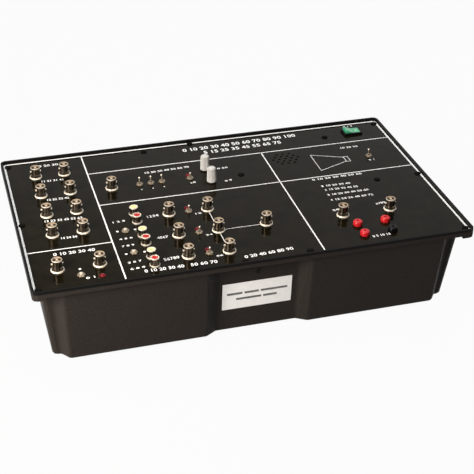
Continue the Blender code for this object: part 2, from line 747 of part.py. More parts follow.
def preset_shafts():
    """Screwdriver shafts, slotted across the top."""
    profile = [
        (0, PRESET_SHAFT_RISE),
        (PRESET_SHAFT_RADIUS, PRESET_SHAFT_RISE),
        (PRESET_SHAFT_RADIUS, -PRESET_SHAFT_TAIL),
        (0, -PRESET_SHAFT_TAIL),
    ]
    master = turned("preset_shaft", profile, BUSH_SIDES)
    slot = box(
        "preset_slot",
        (-PRESET_SHAFT_RADIUS - OVERRUN, -PRESET_SLOT_WIDTH / 2, PRESET_SHAFT_RISE - PRESET_SLOT_DEPTH),
        (PRESET_SHAFT_RADIUS + OVERRUN, PRESET_SLOT_WIDTH / 2, PRESET_SHAFT_RISE + OVERRUN),
    )
    cut(master, slot)
    copies(master, "preset_shaft", PRESET_PLACES, NICKEL)


def level_knobs():
    """Tall push-on knobs, with a spindle that runs down into the control under the panel."""
    top = KNOB_LIFT + KNOB_HEIGHT
    bevel = KNOB_RADIUS - KNOB_TOP_RADIUS
    profile = [
        (0, top),
        (KNOB_TOP_RADIUS - 2 * bevel, top),
        (KNOB_TOP_RADIUS, top - 2 * bevel),
        (KNOB_RADIUS, KNOB_LIFT),
        (KNOB_STEM_RADIUS, KNOB_LIFT),
        (KNOB_STEM_RADIUS, -KNOB_STEM_LENGTH),
        (0, -KNOB_STEM_LENGTH),
    ]
    copies(turned("level_knob", profile, KNOB_SIDES), "level_knob", KNOB_PLACES, KNOB_PLASTIC)


def banana_master():
    profile = [
        (0, BANANA_HEIGHT - BANANA_BORE_DEPTH),
        (BANANA_BORE_RADIUS, BANANA_HEIGHT - BANANA_BORE_DEPTH),
        (BANANA_BORE_RADIUS, BANANA_HEIGHT),
        (BANANA_RADIUS - BANANA_SHOULDER, BANANA_HEIGHT),
        (BANANA_RADIUS, BANANA_HEIGHT - BANANA_SHOULDER),
        (BANANA_RADIUS, SEAT_GAP),
        (BANANA_BODY_RADIUS, SEAT_GAP),
        (BANANA_BODY_RADIUS, SEAT_GAP - BANANA_TAIL + BANANA_SHOULDER),
        (BANANA_BORE_RADIUS + BANANA_SHOULDER, SEAT_GAP - BANANA_TAIL),
        (0, SEAT_GAP - BANANA_TAIL),
    ]
    return turned("banana_socket", profile, BANANA_SIDES)


def banana_sockets():
    """Three red sockets and a black one, in a square."""
    copies(banana_master(), "banana_socket_red", BANANA_PLACES[:-1], RED_PLASTIC)
    copies(banana_master(), "banana_socket_black", BANANA_PLACES[-1:], BLACK_PLASTIC)


def rocker_reach():
    return SWITCH_LENGTH / 2 - SWITCH_RIM - RUN_GAP


def rocker_outline():
    """The rocker seen along its pivot: a disc with a shallow valley across its top and a flat heel."""
    reach = rocker_reach()
    slope = math.tan(ROCKER_THROW / 2)
    half_b = ROCKER_CROWN * slope
    square = 1 + slope**2
    shoulder = (math.sqrt(half_b**2 - square * (ROCKER_CROWN**2 - reach**2)) - half_b) / square
    rim = math.atan2(ROCKER_CROWN + slope * shoulder, shoulder)
    heel = -math.asin(ROCKER_HEEL / reach)
    steps = 3
    right = [heel + (rim - heel) * step / steps for step in range(steps + 1)]
    side = [(reach * math.cos(turn), reach * math.sin(turn)) for turn in right]
    return side + [(0, ROCKER_CROWN)] + [(-x, y) for x, y in reversed(side)]


def power_switch():
    """A snap-in rocker switch: a bezel and body in one, with the lit rocker tilted in its well."""
    place = SWITCH_PLACE
    half_x = SWITCH_LENGTH / 2
    half_y = SWITCH_WIDTH / 2
    bezel = plate(
        "power_switch_housing", [block_outline(half_x, half_y, SWITCH_CORNER)], SEAT_GAP, SEAT_GAP + SWITCH_BEZEL
    )
    body = box(
        "switch_body",
        (SWITCH_BODY_INSET - half_x, SWITCH_BODY_INSET - half_y, -SWITCH_BODY_DEPTH),
        (half_x - SWITCH_BODY_INSET, half_y - SWITCH_BODY_INSET, SEAT_GAP + SWITCH_BEZEL / 2),
    )
    join(bezel, body)
    heel_angle = math.asin(ROCKER_HEEL / rocker_reach()) + ROCKER_THROW / 2
    well_floor = ROCKER_PIVOT_RISE - rocker_reach() * math.sin(heel_angle) - RUN_GAP
    well = box(
        "switch_well",
        (SWITCH_RIM - half_x, SWITCH_RIM - half_y, well_floor),
        (half_x - SWITCH_RIM, half_y - SWITCH_RIM, SEAT_GAP + SWITCH_BEZEL + OVERRUN),
    )
    cut(bezel, well)
    dress(bezel, BLACK_PLASTIC)
    bezel.location = place
    half_rocker = half_y - SWITCH_RIM - RUN_GAP
    rocker = plate("power_switch_rocker", [rocker_outline()], -half_rocker, half_rocker)
    rocker.data.transform(Matrix.Rotation(math.pi / 2, 4, "X"))
    dress(rocker, GREEN_ROCKER)
    rocker.location = place + Vector((0, 0, ROCKER_PIVOT_RISE))
    rocker.rotation_euler = (0, ROCKER_THROW / 2, 0)


def loudspeaker():
    profile = [
        (0, SPEAKER_DOME_RADIUS / 3 - SPEAKER_CONE_DEPTH),
        (SPEAKER_DOME_RADIUS, -SPEAKER_CONE_DEPTH),
        (SPEAKER_CONE_RADIUS, -SPEAKER_RIM / 2),
        (SPEAKER_CONE_RADIUS, 0),
        (SPEAKER_RADIUS, 0),
        (SPEAKER_RADIUS, -SPEAKER_RIM),
        (SPEAKER_CONE_RADIUS, -SPEAKER_RIM - SPEAKER_RIM / 2),
        (SPEAKER_MAGNET_RADIUS, -SPEAKER_BASKET_DEPTH),
        (SPEAKER_MAGNET_RADIUS, -SPEAKER_DEPTH),
        (0, -SPEAKER_DEPTH),
    ]
    speaker = turned("loudspeaker", profile, SPEAKER_SIDES)
    dress(speaker, SPEAKER_STEEL)
    speaker.location = (SPEAKER_PLACE.x, SPEAKER_PLACE.y, PANEL_BOTTOM - SEAT_GAP)


def circuit_board():
    """One board under the panel, with the toggle, preset and control bodies soldered to it."""
    half_x = side_reach(BOARD_BOTTOM) - CASE_WALL - BOARD_EDGE_GAP
    front = CASE_WALL + BOARD_EDGE_GAP - recess_reach(BOARD_BOTTOM)
    back = SWITCH_PLACE.y - SWITCH_WIDTH / 2 + SWITCH_BODY_INSET - BOARD_EDGE_GAP
    board = box("main_circuit_board", (-half_x, front, BOARD_BOTTOM), (half_x, back, BOARD_TOP))
    root = BOARD_TOP - BOARD_THICKNESS / 2
    under_panel = PANEL_BOTTOM - SEAT_GAP
    toggles = BACK_TOGGLES + FRONT_TOGGLES
    join(board, boxes("toggle_cases", toggles, (TOGGLE_CASE_WIDTH, TOGGLE_CASE_DEPTH), root, under_panel))
    join(board, boxes("preset_cases", PRESET_PLACES, (PRESET_CASE_SIDE, PRESET_CASE_SIDE), root, under_panel))
    join(board, boxes("control_cases", KNOB_PLACES, (CONTROL_CASE_SIDE, CONTROL_CASE_SIDE), root, under_panel))
    spacers = [on_panel(shares) for shares in SPACER_SHARES]
    join(board, posts("spacers", spacers, SPACER_RADIUS, root, under_panel, 6))
    chips = [on_panel(shares) for shares in CHIP_SHARES]
    join(board, boxes("chips", chips, (CHIP_LENGTH, CHIP_WIDTH), root, BOARD_TOP + CHIP_HEIGHT))
    capacitors = [on_panel(shares) for shares in CAPACITOR_SHARES]
    join(board, posts("capacitors", capacitors, CAPACITOR_RADIUS, root, BOARD_TOP + CAPACITOR_HEIGHT, 8))
    middle = (BOARD_TOP + PANEL_BOTTOM) / 2
    bushes = (
        ("toggle", toggles, TOGGLE_BUSH_RADIUS, PANEL_TOP + TOGGLE_BUSH_RISE),
        ("preset", PRESET_PLACES, PRESET_BUSH_RADIUS, PANEL_TOP + PRESET_BUSH_RISE),
        ("control", KNOB_PLACES, CONTROL_BUSH_RADIUS, PANEL_TOP + KNOB_LIFT - RUN_GAP),
    )
    for name, places, radius, top in bushes:
        join(board, posts(name + "_bushes", places, radius, middle, top, BUSH_SIDES))
    lever_swing = (TOGGLE_BUSH_RISE - TOGGLE_PIVOT_RISE) * math.tan(TOGGLE_THROW / 2)
    lever_bore = max(TOGGLE_BALL_RADIUS, lever_swing + TOGGLE_NECK_RADIUS / math.cos(TOGGLE_THROW / 2)) + RUN_GAP
    bores = (
        ("toggle", toggles, lever_bore, TOGGLE_PIVOT_RISE - TOGGLE_BALL_RADIUS, TOGGLE_BUSH_RISE),
        ("preset", PRESET_PLACES, PRESET_SHAFT_RADIUS + RUN_GAP, -PRESET_SHAFT_TAIL, PRESET_BUSH_RISE),
        ("control", KNOB_PLACES, KNOB_STEM_RADIUS + RUN_GAP, -KNOB_STEM_LENGTH, KNOB_LIFT),
    )
    for name, places, radius, foot, top in bores:
        low = PANEL_TOP + foot - RUN_GAP
        cut(board, posts(name + "_bores", places, radius, low, PANEL_TOP + top + OVERRUN, BUSH_SIDES))
    dress(board, BOARD_GREEN)


def transformer():
    """A laminated core with its winding through the middle, on a strap with two fixing holes."""
    place = on_panel(TRANSFORMER_SHARES)
    strap = plate(
        "mains_transformer",
        [
            block_outline(STRAP_LENGTH / 2, CORE_WIDTH / 2, STRAP_HOLE_RADIUS),
            circle((STRAP_LENGTH / 2 - STRAP_HOLE_INSET, 0), STRAP_HOLE_RADIUS, 8),
            circle((STRAP_HOLE_INSET - STRAP_LENGTH / 2, 0), STRAP_HOLE_RADIUS, 8),
        ],
        0,
        STRAP_THICKNESS,
    )
    core = box(
        "core",
        (-CORE_LENGTH / 2, -CORE_WIDTH / 2, STRAP_THICKNESS / 2),
        (CORE_LENGTH / 2, CORE_WIDTH / 2, CORE_HEIGHT),
    )
    winding = plate(
        "winding",
        [block_outline(WINDING_LENGTH / 2, WINDING_WIDTH / 2, SOFT_CORNER)],
        (CORE_HEIGHT - WINDING_HEIGHT) / 2,
        (CORE_HEIGHT + WINDING_HEIGHT) / 2,
    )
    join(strap, core)
    join(strap, winding)
    dress(strap, CORE_STEEL)
    strap.location = (place.x, place.y, FLOOR_TOP + SEAT_GAP)


def upright(piece):
    """Stands a shape that was drawn flat so that its top faces +Y."""
    turn = Matrix.Rotation(-math.pi / 2, 4, "X") @ Matrix.Rotation(math.pi, 4, "Z")
    piece.data.transform(turn)
    return piece


def mains_inlet():
    """A three-pin inlet and its fuse drawer on one flange, drawn flat and then stood against the back wall."""
    half_x = INLET_LENGTH / 2
    half_z = INLET_HEIGHT / 2
    low = SEAT_GAP
    flange = plate("mains_inlet", [block_outline(half_x, half_z, INLET_CORNER)], low, low + INLET_FLANGE)
    body_x = half_x - INLET_BODY_INSET
    body_z = inlet_body_half()
    body = box("inlet_body", (-body_x, -body_z, -INLET_BODY_DEPTH), (body_x, body_z, low + INLET_FLANGE / 2))
    left = SOCKET_OFFSET - SOCKET_LENGTH / 2
    right = SOCKET_OFFSET + SOCKET_LENGTH / 2
    top = SOCKET_HEIGHT / 2
    mouth = [
        (left, -top),
        (right, -top),
        (right, top - SOCKET_CHAMFER),
        (right - SOCKET_CHAMFER, top),
        (left + SOCKET_CHAMFER, top),
        (left, top - SOCKET_CHAMFER),
    ]
    front = low + INLET_FLANGE
    socket = plate("inlet_socket", [mouth], front - SOCKET_DEPTH, front + OVERRUN)
    pin_row = -PIN_STAGGER / 2
    middles = [
        (SOCKET_OFFSET - PIN_SPACING / 2, pin_row),
        (SOCKET_OFFSET + PIN_SPACING / 2, pin_row),
        (SOCKET_OFFSET, pin_row + PIN_STAGGER),
    ]
    foot = front - SOCKET_DEPTH - OVERRUN
    pins = boxes("inlet_pins", middles, (PIN_THICKNESS, PIN_HEIGHT), foot, foot + OVERRUN + PIN_LENGTH)
    drawer = box(
        "fuse_drawer",
        (-DRAWER_OFFSET - DRAWER_LENGTH / 2, -DRAWER_HEIGHT / 2, front - OVERRUN),
        (-DRAWER_OFFSET + DRAWER_LENGTH / 2, DRAWER_HEIGHT / 2, front + OVERRUN),
    )
    join(flange, body)
    cut(flange, socket)
    join(flange, pins)
    join(flange, drawer)
    dress(flange, BLACK_PLASTIC)
    place_inlet(upright(flange))


def feet():
    """Four round rubber feet near the corners of the floor."""
    height = FOOT_HEIGHT - SEAT_GAP
    profile = [
        (0, height),
        (FOOT_RADIUS, height),
        (FOOT_RADIUS - height / 4, 0),
        (0, 0),
    ]
    x = side_reach(FOOT_HEIGHT) - FOOT_INSET
    y = bay_reach(FOOT_HEIGHT) - FOOT_INSET
    copies(
        turned("rubber_foot", profile, FOOT_SIDES),
        "rubber_foot",
        [(x, -y, 0), (x, y, 0), (-x, y, 0), (-x, -y, 0)],
        FOOT_RUBBER,
    )


base_tub()
top_panel()
circuit_board()
loudspeaker()
transformer()
mains_inlet()
bnc_jacks()
rca_jacks()
toggle_levers()
indicator_lamps()
preset_shafts()
level_knobs()
banana_sockets()
power_switch()
feet()
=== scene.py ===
import json
import math

import bmesh
import bpy
from mathutils import Matrix, Vector


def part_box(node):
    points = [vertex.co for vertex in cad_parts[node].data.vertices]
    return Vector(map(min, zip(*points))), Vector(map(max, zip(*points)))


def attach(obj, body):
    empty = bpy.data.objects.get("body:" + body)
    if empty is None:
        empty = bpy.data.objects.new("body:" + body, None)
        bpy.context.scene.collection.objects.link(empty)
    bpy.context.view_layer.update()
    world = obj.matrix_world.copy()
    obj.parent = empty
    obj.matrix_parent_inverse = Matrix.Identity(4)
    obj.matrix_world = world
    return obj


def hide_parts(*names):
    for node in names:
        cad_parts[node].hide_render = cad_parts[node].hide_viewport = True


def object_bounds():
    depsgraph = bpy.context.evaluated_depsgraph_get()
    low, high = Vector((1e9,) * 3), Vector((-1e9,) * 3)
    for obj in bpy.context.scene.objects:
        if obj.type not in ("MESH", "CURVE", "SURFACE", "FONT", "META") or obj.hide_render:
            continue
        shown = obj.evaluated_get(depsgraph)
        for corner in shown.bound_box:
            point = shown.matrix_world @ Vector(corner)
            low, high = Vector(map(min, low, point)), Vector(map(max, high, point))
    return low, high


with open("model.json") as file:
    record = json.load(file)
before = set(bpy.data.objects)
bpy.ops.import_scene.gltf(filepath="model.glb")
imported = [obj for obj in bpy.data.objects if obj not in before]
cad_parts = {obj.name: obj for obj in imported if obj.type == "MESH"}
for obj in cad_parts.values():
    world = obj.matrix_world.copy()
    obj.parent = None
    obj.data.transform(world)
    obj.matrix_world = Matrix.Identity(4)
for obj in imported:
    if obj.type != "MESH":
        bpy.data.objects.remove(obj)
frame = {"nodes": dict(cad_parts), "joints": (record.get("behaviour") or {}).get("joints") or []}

cad_low, cad_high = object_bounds()

# Studio. The trainer stands on a plain white table in front of a white wall, under
# a dark ceiling, with one soft lamp low on its left, a weaker one on its right and
# a broad one above.
CAMERA_PLACE = Vector((-0.2725, -0.9795, 0.6575))
CAMERA_YAW = math.radians(16.155)
CAMERA_PITCH = math.radians(31.273)
CAMERA_ROLL = math.radians(0.5255)
CAMERA_LENS = 88.72
TABLE_SIZE = 6.0
TABLE_TONE = (0.18, 0.18, 0.18, 1.0)
TABLE_LIFT = 0.96
WALL_WHITE = 0.985
DARK_END = 0.10
WALL_STARTS = -0.5
WALL_WHOLE = 0.35
CEILING_WAY = (0.5, 0.0, -1.0)
CEILING_STARTS = -0.60
CEILING_ENDS = -0.38
CEILING_SHARE = 0.25
ROOM_GLOW = 0.07
LAMP_AIM = Vector((0.0, 0.0, 0.05))
SOFT_LAMPS = (
    ("left_lamp", (-0.58, -0.40, 0.34), 0.30, 9.6, (1.0, 0.93, 0.86)),
    ("right_lamp", (1.1, -0.2, 1.2), 0.8, 2.5, (0.97, 0.98, 1.0)),
    ("top_lamp", (0.0, 0.35, 1.5), 1.2, 19.5, (1.0, 1.0, 1.0)),
)

ahead = Vector((
    math.sin(CAMERA_YAW) * math.cos(CAMERA_PITCH),
    math.cos(CAMERA_YAW) * math.cos(CAMERA_PITCH),
    -math.sin(CAMERA_PITCH),
))
level = Vector((math.cos(CAMERA_YAW), -math.sin(CAMERA_YAW), 0.0))
above = level.cross(ahead)
right = math.cos(CAMERA_ROLL) * level + math.sin(CAMERA_ROLL) * above
up = math.cos(CAMERA_ROLL) * above - math.sin(CAMERA_ROLL) * level
camera = bpy.data.objects.new("camera", bpy.data.cameras.new("camera"))
camera.data.lens = CAMERA_LENS
camera.matrix_world = Matrix((
    (right.x, up.x, -ahead.x, CAMERA_PLACE.x),
    (right.y, up.y, -ahead.y, CAMERA_PLACE.y),
    (right.z, up.z, -ahead.z, CAMERA_PLACE.z),
    (0.0, 0.0, 0.0, 1.0),
))
bpy.context.scene.collection.objects.link(camera)
bpy.context.scene.camera = camera
bpy.context.scene.view_settings.view_transform = "Standard"

for name, place, side, power, tint in SOFT_LAMPS:
    lamp = bpy.data.lights.new(name, "AREA")
    lamp.shape = "SQUARE"
    lamp.size = side
    lamp.energy = power
    lamp.color = tint
    stand = bpy.data.objects.new(name, lamp)
    stand.location = place
    stand.rotation_euler = (LAMP_AIM - Vector(place)).to_track_quat("-Z", "Y").to_euler()
    bpy.context.scene.collection.objects.link(stand)


def seen_or_mirrored(nodes, links):
    """1 where the background is seen straight, in a shiny surface or through glass, and 0 for its light."""
    path = nodes.new("ShaderNodeLightPath")
    straight_or_shiny = nodes.new("ShaderNodeMath")
    straight_or_shiny.operation = "MAXIMUM"
    links.new(path.outputs["Is Camera Ray"], straight_or_shiny.inputs[0])
    links.new(path.outputs["Is Glossy Ray"], straight_or_shiny.inputs[1])
    any_of_them = nodes.new("ShaderNodeMath")
    any_of_them.operation = "MAXIMUM"
    links.new(straight_or_shiny.outputs[0], any_of_them.inputs[0])
    links.new(path.outputs["Is Transmission Ray"], any_of_them.inputs[1])
    return any_of_them.outputs[0]


room = bpy.data.worlds.new("white_room")
bpy.context.scene.world = room
room.use_nodes = True
room.node_tree.nodes.clear()
nodes, links = room.node_tree.nodes, room.node_tree.links
direction = nodes.new("ShaderNodeTexCoord")
axes = nodes.new("ShaderNodeSeparateXYZ")
links.new(direction.outputs["Generated"], axes.inputs[0])
from_the_back = nodes.new("ShaderNodeMapRange")
from_the_back.interpolation_type = "SMOOTHSTEP"
from_the_back.inputs["From Min"].default_value = WALL_STARTS
from_the_back.inputs["From Max"].default_value = WALL_WHOLE
links.new(axes.outputs["Y"], from_the_back.inputs["Value"])
towards_wall = nodes.new("ShaderNodeVectorMath")
towards_wall.operation = "DOT_PRODUCT"
towards_wall.inputs[1].default_value = CEILING_WAY
links.new(direction.outputs["Generated"], towards_wall.inputs[0])
under_ceiling = nodes.new("ShaderNodeMapRange")
under_ceiling.interpolation_type = "SMOOTHSTEP"
under_ceiling.inputs["From Min"].default_value = CEILING_STARTS
under_ceiling.inputs["From Max"].default_value = CEILING_ENDS
under_ceiling.inputs["To Min"].default_value = CEILING_SHARE
links.new(towards_wall.outputs["Value"], under_ceiling.inputs["Value"])
on_the_wall = nodes.new("ShaderNodeMath")
on_the_wall.operation = "MULTIPLY"
links.new(from_the_back.outputs[0], on_the_wall.inputs[0])
links.new(under_ceiling.outputs[0], on_the_wall.inputs[1])
dark_to_white = nodes.new("ShaderNodeMapRange")
dark_to_white.inputs["To Min"].default_value = DARK_END
dark_to_white.inputs["To Max"].default_value = WALL_WHITE
links.new(on_the_wall.outputs[0], dark_to_white.inputs["Value"])
eye = nodes.new("ShaderNodeLightPath")
wall_tone = nodes.new("ShaderNodeMix")
links.new(eye.outputs["Is Camera Ray"], wall_tone.inputs["Factor"])
links.new(dark_to_white.outputs[0], wall_tone.inputs["A"])
wall_tone.inputs["B"].default_value = WALL_WHITE
soft_light = nodes.new("ShaderNodeBackground")
soft_light.inputs["Strength"].default_value = ROOM_GLOW
white_wall = nodes.new("ShaderNodeBackground")
links.new(wall_tone.outputs["Result"], white_wall.inputs["Strength"])
wall_or_light = nodes.new("ShaderNodeMixShader")
room_output = nodes.new("ShaderNodeOutputWorld")
links.new(seen_or_mirrored(nodes, links), wall_or_light.inputs[0])
links.new(soft_light.outputs[0], wall_or_light.inputs[1])
links.new(white_wall.outputs[0], wall_or_light.inputs[2])
links.new(wall_or_light.outputs[0], room_output.inputs["Surface"])

table_mesh = bpy.data.meshes.new("table")
sheet = bmesh.new()
bmesh.ops.create_grid(sheet, x_segments=2, y_segments=2, size=TABLE_SIZE / 2)
sheet.to_mesh(table_mesh)
sheet.free()
table = bpy.data.objects.new("table", table_mesh)
table.location.z = cad_low.z
bpy.context.scene.collection.objects.link(table)
table_white = bpy.data.materials.new("table_white")
table_white.use_nodes = True
nodes, links = table_white.node_tree.nodes, table_white.node_tree.links
table_paint = nodes["Principled BSDF"]
table_paint.inputs["Base Color"].default_value = TABLE_TONE
table_paint.inputs["Roughness"].default_value = 0.9
table_paint.inputs["Specular IOR Level"].default_value = 0.1
table_glow = nodes.new("ShaderNodeEmission")
table_glow.inputs["Strength"].default_value = 1.0
lifted = nodes.new("ShaderNodeMixShader")
lift = nodes.new("ShaderNodeMath")
lift.operation = "MULTIPLY"
lift.inputs[1].default_value = TABLE_LIFT
links.new(seen_or_mirrored(nodes, links), lift.inputs[0])
links.new(lift.outputs[0], lifted.inputs[0])
links.new(table_paint.outputs[0], lifted.inputs[1])
links.new(table_glow.outputs[0], lifted.inputs[2])
links.new(lifted.outputs[0], nodes["Material Output"].inputs["Surface"])
table.data.materials.append(table_white)

# Case. One deep tub of black ABS, injection moulded with a fine spark-eroded
# grain, with drafted walls, two bays and a skirted flange whose smooth raised lip
# holds the panel.
MM = 0.001
TONE_SPLIT = (0.35, 0.65)
GLOSS_SPLIT = (0.3, 0.7)
SPECK_SCALE = 900.0
LIP_STEP = 0.2 * MM


def finish(name, dark, light, patch, roughness, spread, metallic=0.0, specular=0.5,
           grain=0.0, grain_size=0.0005, stretch=(1.0, 1.0, 1.0), coat=0.0):
    """A surface whose tone drifts in patches, with uneven gloss and a fine grain. Sizes are in metres."""
    material = bpy.data.materials.new(name)
    material.use_nodes = True
    nodes, links = material.node_tree.nodes, material.node_tree.links
    skin = nodes["Principled BSDF"]
    skin.inputs["Metallic"].default_value = metallic
    skin.inputs["Specular IOR Level"].default_value = specular
    skin.inputs["Coat Weight"].default_value = coat
    where = nodes.new("ShaderNodeTexCoord")
    stretched = nodes.new("ShaderNodeMapping")
    stretched.inputs["Scale"].default_value = stretch
    links.new(where.outputs["Object"], stretched.inputs["Vector"])
    drift = nodes.new("ShaderNodeTexNoise")
    drift.inputs["Scale"].default_value = 1.0 / patch
    drift.inputs["Detail"].default_value = 5.0
    links.new(stretched.outputs[0], drift.inputs["Vector"])
    tones = nodes.new("ShaderNodeValToRGB")
    tones.name = "tones"
    tones.color_ramp.elements[0].position = TONE_SPLIT[0]
    tones.color_ramp.elements[0].color = (*dark, 1.0)
    tones.color_ramp.elements[1].position = TONE_SPLIT[1]
    tones.color_ramp.elements[1].color = (*light, 1.0)
    links.new(drift.outputs["Fac"], tones.inputs["Fac"])
    links.new(tones.outputs["Color"], skin.inputs["Base Color"])
    gloss = nodes.new("ShaderNodeMapRange")
    gloss.inputs["From Min"].default_value = GLOSS_SPLIT[0]
    gloss.inputs["From Max"].default_value = GLOSS_SPLIT[1]
    gloss.inputs["To Min"].default_value = roughness - spread
    gloss.inputs["To Max"].default_value = roughness + spread
    links.new(drift.outputs["Fac"], gloss.inputs["Value"])
    links.new(gloss.outputs[0], skin.inputs["Roughness"])
    if grain:
        pits = nodes.new("ShaderNodeTexNoise")
        pits.inputs["Scale"].default_value = 1.0 / grain_size
        pits.inputs["Detail"].default_value = 2.0
        links.new(stretched.outputs[0], pits.inputs["Vector"])
        relief = nodes.new("ShaderNodeBump")
        relief.inputs["Strength"].default_value = 1.0
        relief.inputs["Distance"].default_value = grain
        links.new(pits.outputs["Fac"], relief.inputs["Height"])
        links.new(relief.outputs[0], skin.inputs["Normal"])
    return material


def refinish_above(height, material, dark, light, metallic, roughness):
    """Gives a finish other tones, and metal or gloss, above a height."""
    nodes, links = material.node_tree.nodes, material.node_tree.links
    skin = nodes["Principled BSDF"]
    where = nodes.new("ShaderNodeTexCoord")
    axes = nodes.new("ShaderNodeSeparateXYZ")
    links.new(where.outputs["Object"], axes.inputs[0])
    over = nodes.new("ShaderNodeMath")
    over.operation = "GREATER_THAN"
    over.inputs[1].default_value = height
    links.new(axes.outputs["Z"], over.inputs[0])
    drift = nodes.new("ShaderNodeTexNoise")
    drift.inputs["Scale"].default_value = SPECK_SCALE
    tones = nodes.new("ShaderNodeMix")
    tones.data_type = "RGBA"
    tones.inputs["A"].default_value = (*dark, 1.0)
    tones.inputs["B"].default_value = (*light, 1.0)
    links.new(drift.outputs["Fac"], tones.inputs["Factor"])
    both = nodes.new("ShaderNodeMix")
    both.data_type = "RGBA"
    links.new(over.outputs[0], both.inputs["Factor"])
    links.new(skin.inputs["Base Color"].links[0].from_socket, both.inputs["A"])
    links.new(tones.outputs["Result"], both.inputs["B"])
    links.new(both.outputs["Result"], skin.inputs["Base Color"])
    shine = nodes.new("ShaderNodeMix")
    links.new(over.outputs[0], shine.inputs["Factor"])
    links.new(skin.inputs["Roughness"].links[0].from_socket, shine.inputs["A"])
    shine.inputs["B"].default_value = roughness
    links.new(shine.outputs["Result"], skin.inputs["Roughness"])
    metal = nodes.new("ShaderNodeMath")
    metal.operation = "MAXIMUM"
    metal.inputs[1].default_value = skin.inputs["Metallic"].default_value
    scaled = nodes.new("ShaderNodeMath")
    scaled.operation = "MULTIPLY"
    scaled.inputs[1].default_value = metallic
    links.new(over.outputs[0], scaled.inputs[0])
    links.new(scaled.outputs[0], metal.inputs[0])
    links.new(metal.outputs[0], skin.inputs["Metallic"])


def refinish(node, material):
    """Gives a modelled part its finish."""
    body = frame["nodes"][node]
    body.data.materials.clear()
    body.data.materials.append(material)


case_abs = finish("case_abs", (0.0185, 0.0152, 0.0132), (0.0290, 0.0242, 0.0214), 0.0012, 0.50, 0.10,
                  specular=0.06, grain=0.00008, grain_size=0.0006)
# Above the panel the lip of the case is painted near-black, as painted shade, and made glossier.
refinish_above(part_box("top_panel")[1].z + LIP_STEP, case_abs, (0.0035, 0.0033, 0.0030),
               (0.0065, 0.0060, 0.0055), metallic=0.0, roughness=0.35)
refinish("base_tub", case_abs)

# Feet. Four round feet of black rubber, each held to the floor of the case by
# a screw that sits in a recess in its middle.
FOOT_ROUND = 0.8 * MM
FOOT_WELL = 3.2 * MM
FOOT_WELL_DEPTH = 1.8 * MM
WELL_EDGE = 0.3 * MM
FOOT_SCREW = ((0, 1.7), (2.6, 1.7), (2.6, 1.1), (1.82, 0.6), (0, 0.5))


def turned(profile, sides=48, finishes=0):
    """A solid turned round the Z axis, from (radius, height) points that run down its outer side.

    The finish is one number, or one for each band of the profile.
    """
    solid = bmesh.new()
    rings = []
    for radius, height in profile:
        if radius == 0.0:
            rings.append([solid.verts.new((0.0, 0.0, height))])
            continue
        rings.append([
            solid.verts.new((
                radius * math.cos(math.tau * side / sides),
                radius * math.sin(math.tau * side / sides),
                height,
            ))
            for side in range(sides)
        ])
    bands = finishes if isinstance(finishes, tuple) else (finishes,) * (len(profile) - 1)
    for upper, lower, band in zip(rings, rings[1:], bands):
        for side in range(sides):
            corners = [upper[side % len(upper)], lower[side % len(lower)],
                       lower[(side + 1) % len(lower)], upper[(side + 1) % len(upper)]]
            unlike = list(dict.fromkeys(corners))
            if len(unlike) > 2:
                solid.faces.new(unlike).material_index = band
    bmesh.ops.recalc_face_normals(solid, faces=solid.faces)
    return solid


def in_mm(profile):
    """Profile points given in millimetres."""
    return [(radius * MM, height * MM) for radius, height in profile]


def gathered(name, solids, crease=math.radians(35)):
    """One mesh of several solids, smooth where it is round."""
    whole = bmesh.new()
    mesh = bpy.data.meshes.new(name)
    for solid in solids:
        solid.to_mesh(mesh)
        whole.from_mesh(mesh)
        solid.free()
    whole.to_mesh(mesh)
    whole.free()
    mesh.shade_smooth()
    mesh.set_sharp_from_angle(angle=crease)
    return mesh


def fitted(name, mesh, finishes, place, body, slot, *nodes):
    """Puts a piece in its place on its body, in its finishes."""
    piece = bpy.data.objects.new(name, mesh)
    if not mesh.materials:
        for material in finishes:
            mesh.materials.append(material)
    piece.location = place
    bpy.context.scene.collection.objects.link(piece)
    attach(piece, body)
    if nodes:
        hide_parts(*nodes)
    return piece


def middle_of(node, height):
    """The point at this height over the middle of a modelled part."""
    low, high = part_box(node)
    return Vector(((low.x + high.x) / 2, (low.y + high.y) / 2, height))


foot_rubber = finish("foot_rubber", (0.012, 0.012, 0.012), (0.022, 0.021, 0.020), 0.003, 0.80, 0.08,
                     specular=0.3, grain=0.00004, grain_size=0.0004)
zinc_steel = finish("zinc_steel", (0.42, 0.42, 0.40), (0.56, 0.56, 0.54), 0.002, 0.32, 0.08, metallic=1.0)
foot_low, foot_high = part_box("rubber_foot_01")
foot_radius = (foot_high.x - foot_low.x) / 2
foot_top = foot_high.z - foot_low.z
foot_mesh = gathered("rubber_foot", [
    turned([
        (0.0, foot_top), (foot_radius, foot_top), (foot_radius, FOOT_ROUND),
        (foot_radius - 0.3 * FOOT_ROUND, 0.3 * FOOT_ROUND), (foot_radius - FOOT_ROUND, 0.0),
        (FOOT_WELL + WELL_EDGE, 0.0), (FOOT_WELL, WELL_EDGE), (FOOT_WELL, FOOT_WELL_DEPTH),
        (0.0, FOOT_WELL_DEPTH),
    ]),
    turned(in_mm(FOOT_SCREW), finishes=1),
])
for number in range(1, 5):
    node = f"rubber_foot_{number:02d}"
    fitted(f"foot_{number:02d}", foot_mesh, (foot_rubber, zinc_steel), middle_of(node, foot_low.z),
           "case", "foot_rubber", node)

# Inside. A mains transformer of stacked steel on the floor, and a small paper-cone
# loudspeaker behind the grille.
core_steel = finish("stacked_steel", (0.16, 0.16, 0.17), (0.30, 0.30, 0.31), 0.0007, 0.42, 0.10,
                    metallic=0.8, stretch=(0.2, 1.0, 0.05))
refinish("mains_transformer", core_steel)
speaker_paper = finish("speaker_paper", (0.006, 0.006, 0.006), (0.012, 0.011, 0.010), 0.002, 0.75, 0.08,
                       specular=0.2, grain=0.00004, grain_size=0.0004)
refinish("loudspeaker", speaker_paper)

